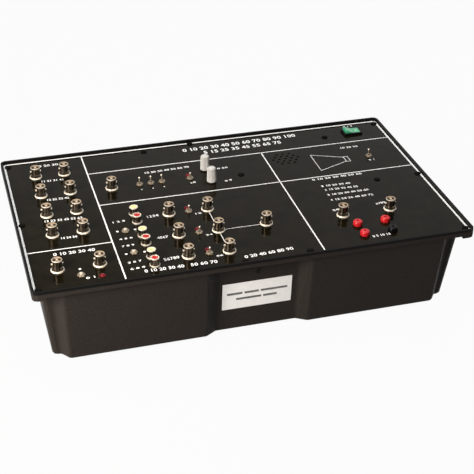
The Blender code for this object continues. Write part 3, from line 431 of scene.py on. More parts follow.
# Mains inlet. A three-pin socket with a fuse drawer in one black nylon flange,
# held in the back recess of the case by two screws.
INLET_SCREW_REACH = 22.6 * MM
INLET_RISE = 42.0 * MM
RECESS_FOOT = 106.0 * MM
RECESS_LEAN = 6.5 * MM
LEAN_START = 3.0 * MM
LEAN_HEIGHT = 80.6 * MM
INLET_SCREW = ((0, 0.9), (1.2, 0.85), (1.9, 0.5), (2.1, 0.1), (2.1, -0.1), (0, -0.1))
INLET_SLIT = ((-1.2, -0.2, 0.75), (1.2, 0.2, 0.93))
INLET_SLIT_TURN = 0.5
FLANGE_FACE = 2.3 * MM
PIN_SPOTS = ((-15.5, -2.0), (-1.5, -2.0), (-8.5, 2.0))
PIN_HALF = (1.15, 2.15)
PIN_ROOT = -14.6
PIN_TIP = -2.6
PIN_EDGE = 0.5
DRAWER_PULL = ((-17.5, -0.9, 3.1), (-11.5, 0.9, 3.9))
PULL_EDGE = 0.3
wall_lean = math.atan2(RECESS_LEAN, LEAN_HEIGHT)


def recess_wall(height):
    """How far out the recess's wall is, front or back, at a height above the table."""
    return RECESS_FOOT + RECESS_LEAN * (height - LEAN_START) / LEAN_HEIGHT


def prism(outline, low, high, finish_number=0):
    """An upright solid over an outline of (x, y) points."""
    solid = bmesh.new()
    under = [solid.verts.new((x, y, low)) for x, y in outline]
    over = [solid.verts.new((x, y, high)) for x, y in outline]
    solid.faces.new(under[::-1])
    solid.faces.new(over)
    for here in range(len(outline)):
        there = (here + 1) % len(outline)
        solid.faces.new((under[here], under[there], over[there], over[here]))
    for face in solid.faces:
        face.material_index = finish_number
    bmesh.ops.recalc_face_normals(solid, faces=solid.faces)
    return solid


def block(low, high, finish_number=0, edge=0.0):
    """A rectangular solid between two corners in millimetres, its upright edges cut off by the edge."""
    (x0, y0, z0), (x1, y1, z1) = low, high
    if edge:
        outline = [(x0 + edge, y0), (x1 - edge, y0), (x1, y0 + edge), (x1, y1 - edge),
                   (x1 - edge, y1), (x0 + edge, y1), (x0, y1 - edge), (x0, y0 + edge)]
    else:
        outline = [(x0, y0), (x1, y0), (x1, y1), (x0, y1)]
    return prism([(x * MM, y * MM) for x, y in outline], z0 * MM, z1 * MM, finish_number)


def moved(solid, matrix):
    """The same solid moved by a matrix."""
    solid.transform(matrix)
    return solid


inlet_nylon = finish("inlet_nylon", (0.013, 0.013, 0.014), (0.021, 0.021, 0.022), 0.003, 0.38, 0.06,
                     specular=0.4, grain=0.00002, grain_size=0.0004)
refinish("mains_inlet", inlet_nylon)
screw_black_and_slit_shade = finish("screw_black_and_slit_shade", (0.0015, 0.0015, 0.0015), (0.004, 0.0035, 0.003), 0.001, 0.55, 0.10,
                     specular=0.03, grain=0.00002, grain_size=0.0003)
plug_nickel = finish("plug_nickel", (0.55, 0.52, 0.46), (0.70, 0.67, 0.60), 0.001, 0.28, 0.08, metallic=1.0)
inlet_parts = []
# The cross in each zinc screw head is a black bar set into it: painted shade where its recess is.
for side in (-1, 1):
    centre = Matrix.Translation((side * INLET_SCREW_REACH, 0.0, FLANGE_FACE))
    inlet_parts.append(moved(turned(in_mm(INLET_SCREW), 32), centre))
    for turn in (INLET_SLIT_TURN, INLET_SLIT_TURN + math.pi / 2):
        inlet_parts.append(moved(block(*INLET_SLIT, 1), centre @ Matrix.Rotation(turn, 4, "Z")))
for x, y in PIN_SPOTS:
    inlet_parts.append(block((-x - PIN_HALF[0], y - PIN_HALF[1], PIN_ROOT),
                             (-x + PIN_HALF[0], y + PIN_HALF[1], PIN_TIP), 2, PIN_EDGE))
inlet_parts.append(block(*DRAWER_PULL, 3, PULL_EDGE))
inlet_fittings = fitted("inlet_fittings", gathered("inlet_fittings", inlet_parts),
                        (zinc_steel, screw_black_and_slit_shade, plug_nickel, inlet_nylon),
                        (0.0, recess_wall(INLET_RISE), INLET_RISE), "case", "black_plastic")
inlet_fittings.rotation_euler = (wall_lean - math.pi / 2, math.pi, 0.0)

# Board. Green glass-fibre laminate with chips and capacitors; it carries the
# bodies of the toggles and presets, whose plated bushings come up through the panel.
BUSH_RISE = 1.8 * MM
LAMINATE_TOP = 1.75 * MM
panel_low, panel_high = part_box("top_panel")
panel_top = panel_high.z

board_green = finish("board_laminate", (0.012, 0.075, 0.030), (0.022, 0.120, 0.048), 0.002, 0.35, 0.08)
refinish_above(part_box("main_circuit_board")[0].z + LAMINATE_TOP, board_green,
               (0.010, 0.010, 0.011), (0.020, 0.020, 0.021), metallic=0.0, roughness=0.45)
refinish_above(panel_low.z, board_green, (0.24, 0.20, 0.15), (0.44, 0.38, 0.30),
               metallic=0.6, roughness=0.34)
board_mesh = frame["nodes"]["main_circuit_board"].data.copy()
board_mesh.materials.clear()
for corner in board_mesh.vertices:
    corner.co.z = min(corner.co.z, panel_top + BUSH_RISE)
fitted("board", board_mesh, (board_green,), (0.0, 0.0, 0.0), "case", "board_laminate", "main_circuit_board")

# Panel. One black laminate with a satin print coat, drilled for all that comes
# through it and held down inside the lip of the case by black screws.
GRILLE_PITCH = 6.8 * MM
GRILLE_ROW = 5.2 * MM
GRILLE_HOLE = 1.4 * MM
GRILLE_SIDE_ROWS = 2
GRILLE_WIDEST = 5
SWITCH_LAP = 1.0 * MM
HOLE_EDGE = 0.15 * MM
PANEL_CORNER = 5.0 * MM
SCREW_SPOTS = (
    (-203.3, 117.0), (203.3, 117.0), (-203.5, -119.0), (203.5, -119.0), (-203.5, -5.0), (203.5, -5.0),
    (-59.7, 116.0), (-8.0, 121.0), (138.7, 98.9), (158.3, -6.2), (26.5, 39.8), (47.4, -119.0),
    (-15.0, -121.0), (-62.0, -121.0),
)


def ring_of(radius, sides, turn=0.0, middle=(0.0, 0.0)):
    """Corner points round a circle."""
    return [
        (
            middle[0] + radius * math.cos(turn + math.tau * side / sides),
            middle[1] + radius * math.sin(turn + math.tau * side / sides),
        )
        for side in range(sides)
    ]


def plate(name, outlines, low, high, edge=0.0):
    """A flat sheet with holes: the first outline is its rim. The edge is a small bevel on all of them."""
    curve = bpy.data.curves.new(name, "CURVE")
    curve.dimensions = "2D"
    curve.fill_mode = "BOTH"
    curve.extrude = (high - low) / 2 - edge
    curve.bevel_depth = edge
    curve.offset = -edge
    curve.bevel_resolution = 0
    for outline in outlines:
        spline = curve.splines.new("POLY")
        spline.points.add(len(outline) - 1)
        for point, spot in zip(spline.points, outline):
            point.co = (spot[0], spot[1], 0.0, 1.0)
        spline.use_cyclic_u = True
    drawn = bpy.data.objects.new(name + "_outline", curve)
    bpy.context.scene.collection.objects.link(drawn)
    made = bpy.data.meshes.new_from_object(drawn.evaluated_get(bpy.context.evaluated_depsgraph_get()))
    bpy.data.objects.remove(drawn)
    solid = bmesh.new()
    solid.from_mesh(made)
    bmesh.ops.remove_doubles(solid, verts=solid.verts, dist=0.000001)
    bmesh.ops.recalc_face_normals(solid, faces=solid.faces)
    solid.transform(Matrix.Translation((0.0, 0.0, (low + high) / 2)))
    return solid


def rounded(x0, y0, x1, y1, radius, steps=6):
    """A rectangle's outline with rounded corners."""
    outline = []
    for x, y, start in ((x1 - radius, y1 - radius, 0), (x0 + radius, y1 - radius, 1),
                        (x0 + radius, y0 + radius, 2), (x1 - radius, y0 + radius, 3)):
        for step in range(steps + 1):
            turn = math.pi / 2 * (start + step / steps)
            outline.append((x + radius * math.cos(turn), y + radius * math.sin(turn)))
    return outline


HOLES = (("bnc_jack", 4.8), ("rca_jack", 3.3), ("toggle_lever", 3.2), ("indicator_lamp", 2.8),
         ("preset_shaft", 3.3), ("level_knob", 3.7), ("banana_socket", 4.3))
pivots = {joint["child"]: Vector(joint["pos_m"]) for joint in frame["joints"]}
panel_outlines = [rounded(panel_low.x, panel_low.y, panel_high.x, panel_high.y, PANEL_CORNER)]
for node in sorted(frame["nodes"]):
    for start, radius in HOLES:
        if node.startswith(start):
            spot = pivots.get(node) or middle_of(node, panel_top)
            panel_outlines.append(ring_of(radius * MM, 24, middle=(spot.x, spot.y)))
speaker_spot = middle_of("loudspeaker", panel_top)
for row in range(-GRILLE_SIDE_ROWS, GRILLE_SIDE_ROWS + 1):
    holes = GRILLE_WIDEST - abs(row)
    for column in range(holes):
        x = speaker_spot.x + (column - (holes - 1) / 2) * GRILLE_PITCH
        panel_outlines.append(ring_of(GRILLE_HOLE, 24, middle=(x, speaker_spot.y + row * GRILLE_ROW)))
switch_low, switch_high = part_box("power_switch_housing")
cut_low = switch_low + Vector((SWITCH_LAP, SWITCH_LAP, 0.0))
cut_high = switch_high - Vector((SWITCH_LAP, SWITCH_LAP, 0.0))
panel_outlines.append([
    (cut_low.x, cut_low.y), (cut_high.x, cut_low.y), (cut_high.x, cut_high.y), (cut_low.x, cut_high.y),
])
panel_black = finish("panel_black", (0.0046, 0.0034, 0.0013), (0.0082, 0.0061, 0.0025), 0.012, 0.11, 0.03,
                     specular=0.08)
panel_sheet = plate("panel_sheet", panel_outlines, panel_low.z, panel_high.z, HOLE_EDGE)
fitted("panel_sheet", gathered("panel_sheet", [panel_sheet]), (panel_black,), (0.0, 0.0, 0.0),
       "case", "panel_laminate", "top_panel")

PAN_HEAD = ((0, 1.6), (1.8, 1.5), (2.8, 1.1), (3.3, 0.5), (3.3, -0.1), (0, -0.1))
PAN_SLIT = ((-1.5, -0.32, 1.30), (1.5, 0.32, 1.56))
SCREW_TURN = 0.7
pan_head = [turned(in_mm(PAN_HEAD), 32)]
for turn in (0.0, math.pi / 2):
    pan_head.append(moved(block(*PAN_SLIT, 1), Matrix.Rotation(turn, 4, "Z")))
pan_head_mesh = gathered("panel_screw", pan_head)
slit_shade = finish("slit_shade", (0.002, 0.002, 0.002), (0.004, 0.004, 0.004), 0.001, 0.80, 0.10,
                    specular=0.1)
for number, (x, y) in enumerate(SCREW_SPOTS, 1):
    screw = fitted(f"panel_screw_{number:02d}", pan_head_mesh, (screw_black_and_slit_shade, slit_shade),
                   (x * MM, y * MM, panel_top), "case", "black_plastic")
    screw.rotation_euler.z = number * SCREW_TURN

# Print. The white screen print on the panel: a border, dividing lines, the hook-up
# lines between jacks, a loudspeaker sign, dots, and rows of plain figures.
INK_LOW = panel_top - 0.02 * MM
INK_HIGH = panel_top + 0.05 * MM
FIGURE_SHARE = 0.72
FIGURE_WEIGHT = 0.025
LINES = (
    (-206.3, -124.6, -206.3, 124.0, 1.9), (206.3, -124.6, 206.3, 124.0, 1.9),
    (-207.2, 123.2, 207.2, 123.2, 1.8), (-125.9, -124.6, -125.9, 122.6, 1.35),
    (60.8, -124.6, 60.8, 81.8, 1.2), (-205.6, -56.3, -125.9, -56.3, 1.15),
    (-125.9, 81.8, 205.6, 81.8, 1.1), (-125.9, 14.7, 205.6, 14.7, 1.1),
    (-24.7, -20.0, -24.7, -100.0, 0.6), (-24.7, -61.2, 22.8, -61.2, 0.5),
)
SIGN_LINE = 0.55
SIGN = (
    (109.6, 63.0, 142.1, 49.5), (142.3, 40.4, 109.6, 27.0), (109.6, 27.0, 109.6, 63.0),
    (142.3, 39.4, 142.3, 50.6), (146.7, 39.4, 146.7, 50.6), (142.3, 39.4, 146.7, 39.4),
    (142.3, 50.6, 146.7, 50.6),
)
DOTS = (
    (-162.6, -94.3, 1.25), (-117.9, -38.8, 1.25), (-100.9, -39.3, 1.25), (-117.6, -80.5, 1.25),
    (-100.5, -80.7, 1.25), (-78.5, 35.6, 0.7), (-66.9, 35.6, 0.7), (-55.4, 35.6, 0.7),
)
FIGURES = (
    (-18.8, 105.0, 109.2, 109.8, 6.6, "0 10 20 30 40 50 60 70 80 90 100"),
    (2.0, 95.2, 89.0, 98.0, 6.2, "5 15 25 35 45 55 65 75"),
    (-68.3, 67.4, -21.1, 69.5, 3.6, "10 20 30 40 50 60 70"),
    (167.2, 116.8, 178.2, 117.5, 2.8, "0 1 2"),
    (146.6, 68.9, 166.0, 68.4, 3.2, "10 20 30"),
    (93.6, 8.5, 147.9, 9.1, 3.4, "0 10 20 30 40 50 60"),
    (-107.5, -115.4, -71.0, -115.8, 4.8, "0 10 20 30 40"), (-65.0, -115.9, -40.1, -116.4, 4.8, "50 60 70"),
    (-14.1, -115.9, 33.6, -112.7, 4.8, "0 20 40 60 80 90"),
    (-182.4, -66.4, -143.8, -67.0, 4.8, "0 10 20 30 40"),
    (-174.5, 109.7, -151.7, 110.0, 4.4, "10 20 30"), (-173.5, 76.7, -151.7, 75.9, 3.6, "11 21 31 41"),
    (-173.4, 37.1, -151.7, 36.5, 3.6, "12 22 32 42"),
    (-181.6, -4.1, -145.7, -5.9, 3.8, "13 23 33 43 53 63"), (-171.0, -39.0, -156.0, -39.3, 3.8, "14 24 34"),
    (-85.0, -21.3, -73.5, -20.4, 4.0, "1234"), (-84.2, -62.0, -73.6, -62.0, 4.0, "4567"),
    (-86.4, -101.2, -71.6, -99.9, 4.4, "56789"),
    (-27.5, 34.6, -22.0, 35.8, 2.8, "10"), (112.6, -112.0, 130.6, -111.4, 3.6, "0 5 10 15"),
    (93.0, -55.8, 99.7, -54.6, 3.0, "56"), (138.5, -54.8, 148.6, -53.4, 3.2, "6789"),
    (6.2, 57.8, 17.5, 57.8, 3.0, "0 50"), (7.0, 29.6, 14.8, 30.8, 3.0, "0 9"),
    (-119.0, -22.6, -107.0, -21.8, 2.8, "1 2 3"), (-119.0, -55.0, -106.0, -54.2, 2.8, "4 5 6"),
    (-119.0, -68.0, -107.0, -67.2, 2.8, "7 8 9"), (-119.0, -97.0, -106.0, -96.2, 2.8, "3 5 7"),
    (-119.0, -108.0, -105.0, -107.2, 2.8, "6 8 9"),
    (-38.5, -26.8, -32.0, -26.4, 2.4, "12"), (-38.5, -68.2, -32.0, -67.8, 2.4, "34"),
    (-38.5, -106.6, -32.0, -106.2, 2.4, "56"), (-159.8, -112.2, -151.6, -111.8, 3.2, "0 1"),
    (166.0, 35.4, 172.4, 35.8, 2.4, "0 1"),
    (98.4, -6.6, 100.4, -6.6, 3.0, "1"), (103.6, -6.6, 129.2, -7.2, 3.2, "10 20 30 40"),
    (99.0, -14.7, 101.2, -14.7, 3.0, "2"), (104.0, -14.8, 134.2, -15.8, 3.2, "15 25 35 45 55"),
    (98.2, -25.2, 100.4, -25.2, 3.0, "3"), (103.4, -25.2, 142.0, -25.0, 3.2, "10 20 30 40 50 60"),
    (97.8, -35.7, 100.0, -35.7, 3.0, "4"), (103.0, -35.7, 142.8, -35.5, 3.2, "12 24 36 48 60 72"),
)


def stroke(x0, y0, x1, y1, width):
    """A printed line between two points in millimetres."""
    along = Vector((x1 - x0, y1 - y0)).normalized()
    side = Vector((-along.y, along.x)) * width / 2
    start, end = Vector((x0, y0)), Vector((x1, y1))
    corners = (start - side, end - side, end + side, start + side)
    return prism([(corner.x * MM, corner.y * MM) for corner in corners], INK_LOW, INK_HIGH)


def figures(text, x0, y0, x1, y1, height):
    """A row of plain figures drawn out between two points in millimetres."""
    words = bpy.data.curves.new("figures", "FONT")
    words.body = text
    words.size = height * MM / FIGURE_SHARE
    words.resolution_u = 2
    words.extrude = (INK_HIGH - INK_LOW) / 2
    words.offset = FIGURE_WEIGHT * height * MM
    drawn = bpy.data.objects.new("figures", words)
    bpy.context.scene.collection.objects.link(drawn)
    made = bpy.data.meshes.new_from_object(drawn.evaluated_get(bpy.context.evaluated_depsgraph_get()))
    bpy.data.objects.remove(drawn)
    solid = bmesh.new()
    solid.from_mesh(made)
    bmesh.ops.remove_doubles(solid, verts=solid.verts, dist=0.000001)
    ends = [corner.co.x for corner in solid.verts]
    span = math.hypot(x1 - x0, y1 - y0) * MM
    place = Matrix.Translation((x0 * MM, y0 * MM, (INK_LOW + INK_HIGH) / 2))
    turn = Matrix.Rotation(math.atan2(y1 - y0, x1 - x0), 4, "Z")
    drawn_out = Matrix.Diagonal((span / (max(ends) - min(ends)), 1.0, 1.0, 1.0))
    solid.transform(place @ turn @ drawn_out @ Matrix.Translation((-min(ends), 0.0, 0.0)))
    return solid


print_solids = [stroke(*line) for line in LINES]
print_solids += [stroke(*line, SIGN_LINE) for line in SIGN]
for x, y, radius in DOTS:
    print_solids.append(prism(ring_of(radius * MM, 20, middle=(x * MM, y * MM)), INK_LOW, INK_HIGH))
for x0, y0, x1, y1, height, text in FIGURES:
    print_solids.append(figures(text, x0, y0, x1, y1, height))
ink_white = finish("ink_white", (0.86, 0.86, 0.84), (0.94, 0.94, 0.92), 0.002, 0.50, 0.08, specular=0.3)
fitted("panel_print", gathered("panel_print", print_solids), (ink_white,), (0.0, 0.0, 0.0),
       "case", "panel_laminate")

# Coaxial jacks. Turned brass with bright nickel on it: a washer and a nut on the
# panel, a barrel with two bayonet lugs, and a tan insulator round its contact. The
# nickel is painted in lit and shaded copies: painted highlights on the washer's
# rounded rim, the barrel's lip and the contact, painted shade on the nut and the
# washer's flat faces, and a dark painted reflection with upright painted streaks of
# highlight on the barrel. The barrel's top is painted tan like the insulator, as
# painted light, and the bore and two marks beside the contact are painted shade.
JACK_WASHER = ((0, 0.9), (5.35, 0.9), (5.5, 1.6), (5.75, 1.65), (6.1, 1.3), (6.33, 0.8), (6.38, 0.2),
               (6.2, 0.0), (0, 0.0))
WASHER_BANDS = (4, 1, 5, 5, 5, 5, 4, 4)
JACK_NUT = ((0, 2.2), (5.0, 2.2), (5.35, 2.05), (5.45, 0.9), (0, 0.9))
JACK_BARREL = ((0, 9.6), (3.6, 9.6), (3.6, 10.9), (3.6, 11.35), (3.7, 11.5), (3.95, 11.62), (4.3, 11.7),
               (4.62, 11.7), (4.8, 11.5), (4.8, 10.9), (4.62, 10.6), (4.38, 10.45), (4.38, 4.3),
               (4.62, 4.1), (4.38, 3.9), (4.62, 3.7), (4.38, 3.5), (4.62, 3.3), (4.62, 2.2), (4.5, 0.0))
BARREL_BANDS = (2, 2, 3, 3, 3, 3, 3, 1, 1) + (0,) * 12
JACK_CORE = ((0, 10.6), (0.35, 10.6), (0.35, 11.1), (0.6, 11.25), (0.8, 11.3), (3.4, 11.3), (3.5, 11.2),
             (3.5, 9.7), (0, 9.7))
CORE_BANDS = (3, 1, 1, 3, 3, 3, 3, 2)
GAP_SHADE = ((0, 11.34), (1.15, 11.34), (1.15, 11.1), (0, 11.1))
GAP_SHADE_REACH = 2.3 * MM
GAP_SHADE_STRETCH = Matrix.Diagonal((1.0, 1.55, 1.0, 1.0))
BAYONET_LUG = ((0, 5.5), (0.75, 5.5), (1.0, 5.3), (1.0, 4.2), (0, 4.2))
LUG_HEIGHT = 7.0 * MM


def down_to(low, profile):
    """A profile in millimetres that goes straight down from its last point to a height in metres."""
    points = in_mm(profile)
    return points + [(points[-1][0], low), (0.0, low)]


# A dark painted reflection of the room, with upright painted streaks of highlight, for the plated barrels,
# sleeves and nuts.
nickel_painted_reflections = finish("nickel_painted_reflections", (0.045, 0.035, 0.024), (0.25, 0.20, 0.145), 0.0011, 0.27, 0.08,
                       metallic=0.95, stretch=(1.0, 1.0, 0.06))
# A lighter copy of the plating, a painted highlight, for lips, rims, contacts, lever tips, shafts and
# tubes.
nickel_painted_highlight = finish("nickel_painted_highlight", (0.74, 0.65, 0.52), (0.90, 0.82, 0.70), 0.0016, 0.32, 0.08,
                       metallic=0.45)
# A darker copy of the plating, painted shade, for the jack nuts and the washers' flat faces.
nickel_painted_shade = finish("nickel_painted_shade", (0.030, 0.023, 0.016), (0.070, 0.055, 0.040), 0.0012, 0.40, 0.10,
                      metallic=0.5)
# A near-white copy of the plating, a painted highlight, for the washers' rounded rims.
rim_painted_highlight = finish("rim_painted_highlight", (0.70, 0.61, 0.48), (0.84, 0.76, 0.63), 0.0016, 0.30, 0.08, metallic=0.15)
# Near-black painted shade for the bores, the holes and the gap beside each jack's contact.
jack_painted_shade = finish("jack_painted_shade", (0.004, 0.0035, 0.003), (0.008, 0.007, 0.006), 0.001, 0.60, 0.08,
                   specular=0.1)
# The insulator's tan, also painted on the metal top of the barrel as painted light.
jack_tan_and_painted_sheen = finish("jack_tan_and_painted_sheen", (0.23, 0.17, 0.11), (0.33, 0.245, 0.165), 0.0012, 0.50, 0.08,
                    specular=0.3)
jack_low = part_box("bnc_jack_01")[0].z - panel_top
jack_solids = [
    turned(in_mm(JACK_WASHER), 48, WASHER_BANDS),
    turned(in_mm(JACK_NUT), 6, 4),
    turned(down_to(jack_low, JACK_BARREL), 48, BARREL_BANDS),
    turned(in_mm(JACK_CORE), 32, CORE_BANDS),
]
# Two dark marks on each insulator, painted shade where the gap into the jack shows.
for side in (-1, 1):
    gap_shade_spot = Matrix.Translation((side * GAP_SHADE_REACH, 0.0, 0.0)) @ GAP_SHADE_STRETCH
    jack_solids.append(moved(turned(in_mm(GAP_SHADE), 16, 2), gap_shade_spot))
for side in (-1, 1):
    lug_spot = Matrix.Translation((0.0, 0.0, LUG_HEIGHT)) @ Matrix.Rotation(side * math.pi / 2, 4, "Y")
    jack_solids.append(moved(turned(in_mm(BAYONET_LUG), 20, 1), lug_spot))
jack_mesh = gathered("coaxial_jack", jack_solids)
jack_finishes = (nickel_painted_reflections, nickel_painted_highlight, jack_painted_shade, jack_tan_and_painted_sheen, nickel_painted_shade, rim_painted_highlight)
for number in range(1, 21):
    node = f"bnc_jack_{number:02d}"
    fitted(f"coaxial_jack_{number:02d}", jack_mesh, jack_finishes, middle_of(node, panel_top),
           "case", "jack_nickel", node)

# Phono sockets. A flared nickel sleeve on a thin nut, filled by a moulded plug of
# yellow or red plastic with a hole for the centre contact. The hole and the inside
# of the sleeve are painted shade; the sleeve's lip and the nut's side have a
# painted highlight, and the rest of the nickel has the dark painted reflection.
PHONO_NUT = ((0, 1.6), (4.0, 1.6), (4.6, 1.5), (4.9, 1.2), (4.9, 0.15), (4.75, 0.0), (0, 0.0))
PHONO_SLEEVE = ((0, 2.4), (3.1, 2.4), (3.1, 8.2), (3.25, 8.4), (3.95, 8.4), (4.15, 8.2), (4.15, 7.4),
                (3.75, 6.9), (3.55, 6.0), (3.55, 2.8), (3.8, 1.5), (3.0, 0.0))
SLEEVE_BANDS = (2, 2, 1, 1, 1, 1) + (0,) * 7
PHONO_PLUG = ((0, 7.7), (0.45, 7.7), (0.45, 8.15), (0.7, 8.25), (1.0, 8.25), (1.1, 8.15), (3.12, 8.15),
              (3.12, 2.3), (0, 2.3))
phono_yellow = finish("phono_yellow", (0.76, 0.66, 0.24), (0.86, 0.77, 0.34), 0.0012, 0.40, 0.06,
                      specular=0.4)
phono_red = finish("phono_red", (0.38, 0.005, 0.007), (0.50, 0.012, 0.014), 0.0012, 0.38, 0.06,
                   specular=0.3)
phono_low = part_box("rca_jack_red_01")[0].z - panel_top
for colour, plastic in (("yellow", phono_yellow), ("red", phono_red)):
    phono_mesh = gathered(f"phono_{colour}", [
        turned(in_mm(PHONO_NUT), 40, (0, 0, 1, 1, 1, 0)),
        turned(down_to(phono_low, PHONO_SLEEVE), 40, SLEEVE_BANDS),
        turned(in_mm(PHONO_PLUG), 40, (2, 2, 3, 3, 3, 3, 3, 3)),
    ])
    for number in range(1, 4):
        node = f"rca_jack_{colour}_{number:02d}"
        fitted(f"phono_{colour}_{number:02d}", phono_mesh,
               (nickel_painted_reflections, nickel_painted_highlight, jack_painted_shade, plastic),
               middle_of(node, panel_top), "case", f"rca_{colour}", node)

# Toggles. Sub-miniature switches: a plated bushing with a thin hex nut, and a bat
# lever on a ball, turned from one piece of brass.
PIVOT_RISE = 0.2 * MM
LEVER_THROW = math.radians(12.0)
BAT_LEVER = ((0, 8.0), (0.4, 7.95), (0.7, 7.7), (0.88, 7.3), (0.9, 6.8), (0.8, 6.0), (0.6, 4.6),
             (0.48, 3.2), (0.48, 1.3), (0.9, 0.75), (1.1, 0.35), (1.15, 0.0), (1.1, -0.4), (0.9, -0.8),
             (0.5, -1.05), (0, -1.15))
# The lever's tip has the painted highlight; the shaft below it has the nuts' bronze.
LEVER_BANDS = (0,) * 4 + (1,) * 11
TOGGLE_NUT = ((0, 1.05), (3.25, 1.05), (3.65, 0.85), (3.7, 0.1), (3.6, 0.0), (0, 0.0))
TOGGLE_BUSH = ((1.62, 1.85), (2.5, 1.85), (2.95, 1.65), (2.95, 0.1), (1.62, 0.1), (1.62, 1.85))


def over_pivot(node):
    """The point on the panel over the axis that a part turns about."""
    return Vector((pivots[node].x, pivots[node].y, panel_top))


nut_bronze = finish("nut_bronze", (0.20, 0.155, 0.105), (0.37, 0.305, 0.22), 0.0011, 0.30, 0.08,
                    metallic=0.6)
lever_mesh = gathered("bat_lever", [turned(in_mm(BAT_LEVER), 24, LEVER_BANDS)])
bush_mesh = gathered("toggle_bush", [turned(in_mm(TOGGLE_NUT), 6), turned(in_mm(TOGGLE_BUSH), 32)])
for number in range(1, 9):
    node = f"toggle_lever_{number:02d}"
    spot = over_pivot(node)
    fitted(f"toggle_bush_{number:02d}", bush_mesh, (nut_bronze,), spot, "case", "switch_nickel")
    lever = fitted(f"bat_lever_{number:02d}", lever_mesh, (nickel_painted_highlight, nut_bronze),
                   spot + Vector((0.0, 0.0, PIVOT_RISE)), node, "switch_nickel", node)
    lever_low, lever_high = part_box(node)
    thrown_back = lever_high.y - spot.y > spot.y - lever_low.y
    lever.rotation_euler.x = -LEVER_THROW if thrown_back else LEVER_THROW

# Lamps. Five-millimetre red lamps pushed up through the panel, each with a small
# flange that sits on it.
LAMP_LENS = ((0, 2.2), (0.5, 2.16), (1.0, 2.03), (1.5, 1.78), (1.95, 1.40), (2.28, 0.98), (2.4, 0.75),
             (2.75, 0.7), (2.9, 0.55), (2.9, 0.05), (2.5, 0.0))
lens_red = finish("lens_red", (0.085, 0.001, 0.004), (0.16, 0.002, 0.008), 0.0015, 0.14, 0.04,
                  specular=0.25)
lamp_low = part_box("indicator_lamp_01")[0].z - panel_top
lamp_mesh = gathered("lamp_lens", [turned(down_to(lamp_low, LAMP_LENS), 32)])
for number in range(1, 6):
    node = f"indicator_lamp_{number:02d}"
    fitted(f"lamp_{number:02d}", lamp_mesh, (lens_red,), middle_of(node, panel_top),
           "case", "lamp_lens", node)

# Presets. A nut and bushing like the toggles', with a slotted brass shaft that a
# screwdriver turns.
PRESET_NUT = ((0, 1.05), (3.5, 1.05), (3.9, 0.85), (3.95, 0.1), (3.85, 0.0), (0, 0.0))
PRESET_BUSH = ((1.95, 1.85), (2.6, 1.85), (3.05, 1.65), (3.05, 0.1), (1.95, 0.1), (1.95, 1.85))
SHAFT_RADIUS = 1.55 * MM
SHAFT_SHOULDER = 2.0 * MM
CHEEK_LOW = 1.95 * MM
CHEEK_HIGH = 2.7 * MM
CHEEK_STEPS = 14
SLOT_HALF = 0.3 * MM
preset_ring_mesh = gathered("preset_ring", [turned(in_mm(PRESET_NUT), 6), turned(in_mm(PRESET_BUSH), 32)])
shaft_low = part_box("preset_shaft_01")[0].z - panel_top
slot_edge = math.asin(SLOT_HALF / SHAFT_RADIUS)
half_round = [slot_edge + (math.pi - 2 * slot_edge) * step / CHEEK_STEPS for step in range(CHEEK_STEPS + 1)]
preset_solids = [turned([(0.0, SHAFT_SHOULDER), (SHAFT_RADIUS, SHAFT_SHOULDER),
                         (SHAFT_RADIUS, shaft_low), (0.0, shaft_low)], 32)]
for side in (SHAFT_RADIUS, -SHAFT_RADIUS):
    cheek = [(side * math.cos(turn), side * math.sin(turn)) for turn in half_round]
    preset_solids.append(prism(cheek, CHEEK_LOW, CHEEK_HIGH))
preset_top_mesh = gathered("preset_top", preset_solids)
for number in range(1, 4):
    node = f"preset_shaft_{number:02d}"
    spot = over_pivot(node)
    fitted(f"preset_ring_{number:02d}", preset_ring_mesh, (nut_bronze,), spot, "case", "switch_nickel")
    # The shaft's slotted top has the painted highlight, lighter than the ring below it.
    fitted(f"preset_top_{number:02d}", preset_top_mesh, (nickel_painted_highlight,), spot, node, "switch_nickel", node)

# Knobs. Two tall push-on knobs of light grey plastic with fine flutes and a
# rounded top, on the spindles of the level controls.
KNOB_FLUTES = 18
FLUTE_DEPTH = 0.55 * MM
SPINDLE_RADIUS = 2.0 * MM
SPINDLE_TOP = 1.8 * MM
CONTROL_RING = ((2.4, 0.95), (4.2, 0.95), (4.5, 0.75), (4.5, 0.1), (4.4, 0.0), (2.4, 0.0), (2.4, 0.95))


def fluted(levels, flutes, depth):
    """A fluted solid through (radius, height, share of the flute's depth) levels, from its top down.

    Each flute takes four sides, and the two in its floor have the fourth finish, painted shade.
    """
    solid = bmesh.new()
    sides = 4 * flutes
    rings = []
    for radius, height, share in levels:
        ring = []
        for side in range(sides):
            reach = radius - depth * share * (0.5 - 0.5 * math.cos(math.tau * side / 4))
            turn = math.tau * side / sides
            ring.append(solid.verts.new((reach * math.cos(turn), reach * math.sin(turn), height)))
        rings.append(ring)
    solid.faces.new(rings[0])
    solid.faces.new(rings[-1][::-1])
    for upper, lower in zip(rings, rings[1:]):
        for side in range(sides):
            after = (side + 1) % sides
            wall = solid.faces.new((upper[side], lower[side], lower[after], upper[after]))
            wall.material_index = 3 if side % 4 in (1, 2) else 0
    bmesh.ops.recalc_face_normals(solid, faces=solid.faces)
    return solid


knob_grey = finish("knob_grey", (0.51, 0.50, 0.475), (0.63, 0.62, 0.59), 0.0014, 0.50, 0.08, specular=0.35,
                   grain=0.00002, grain_size=0.0004)
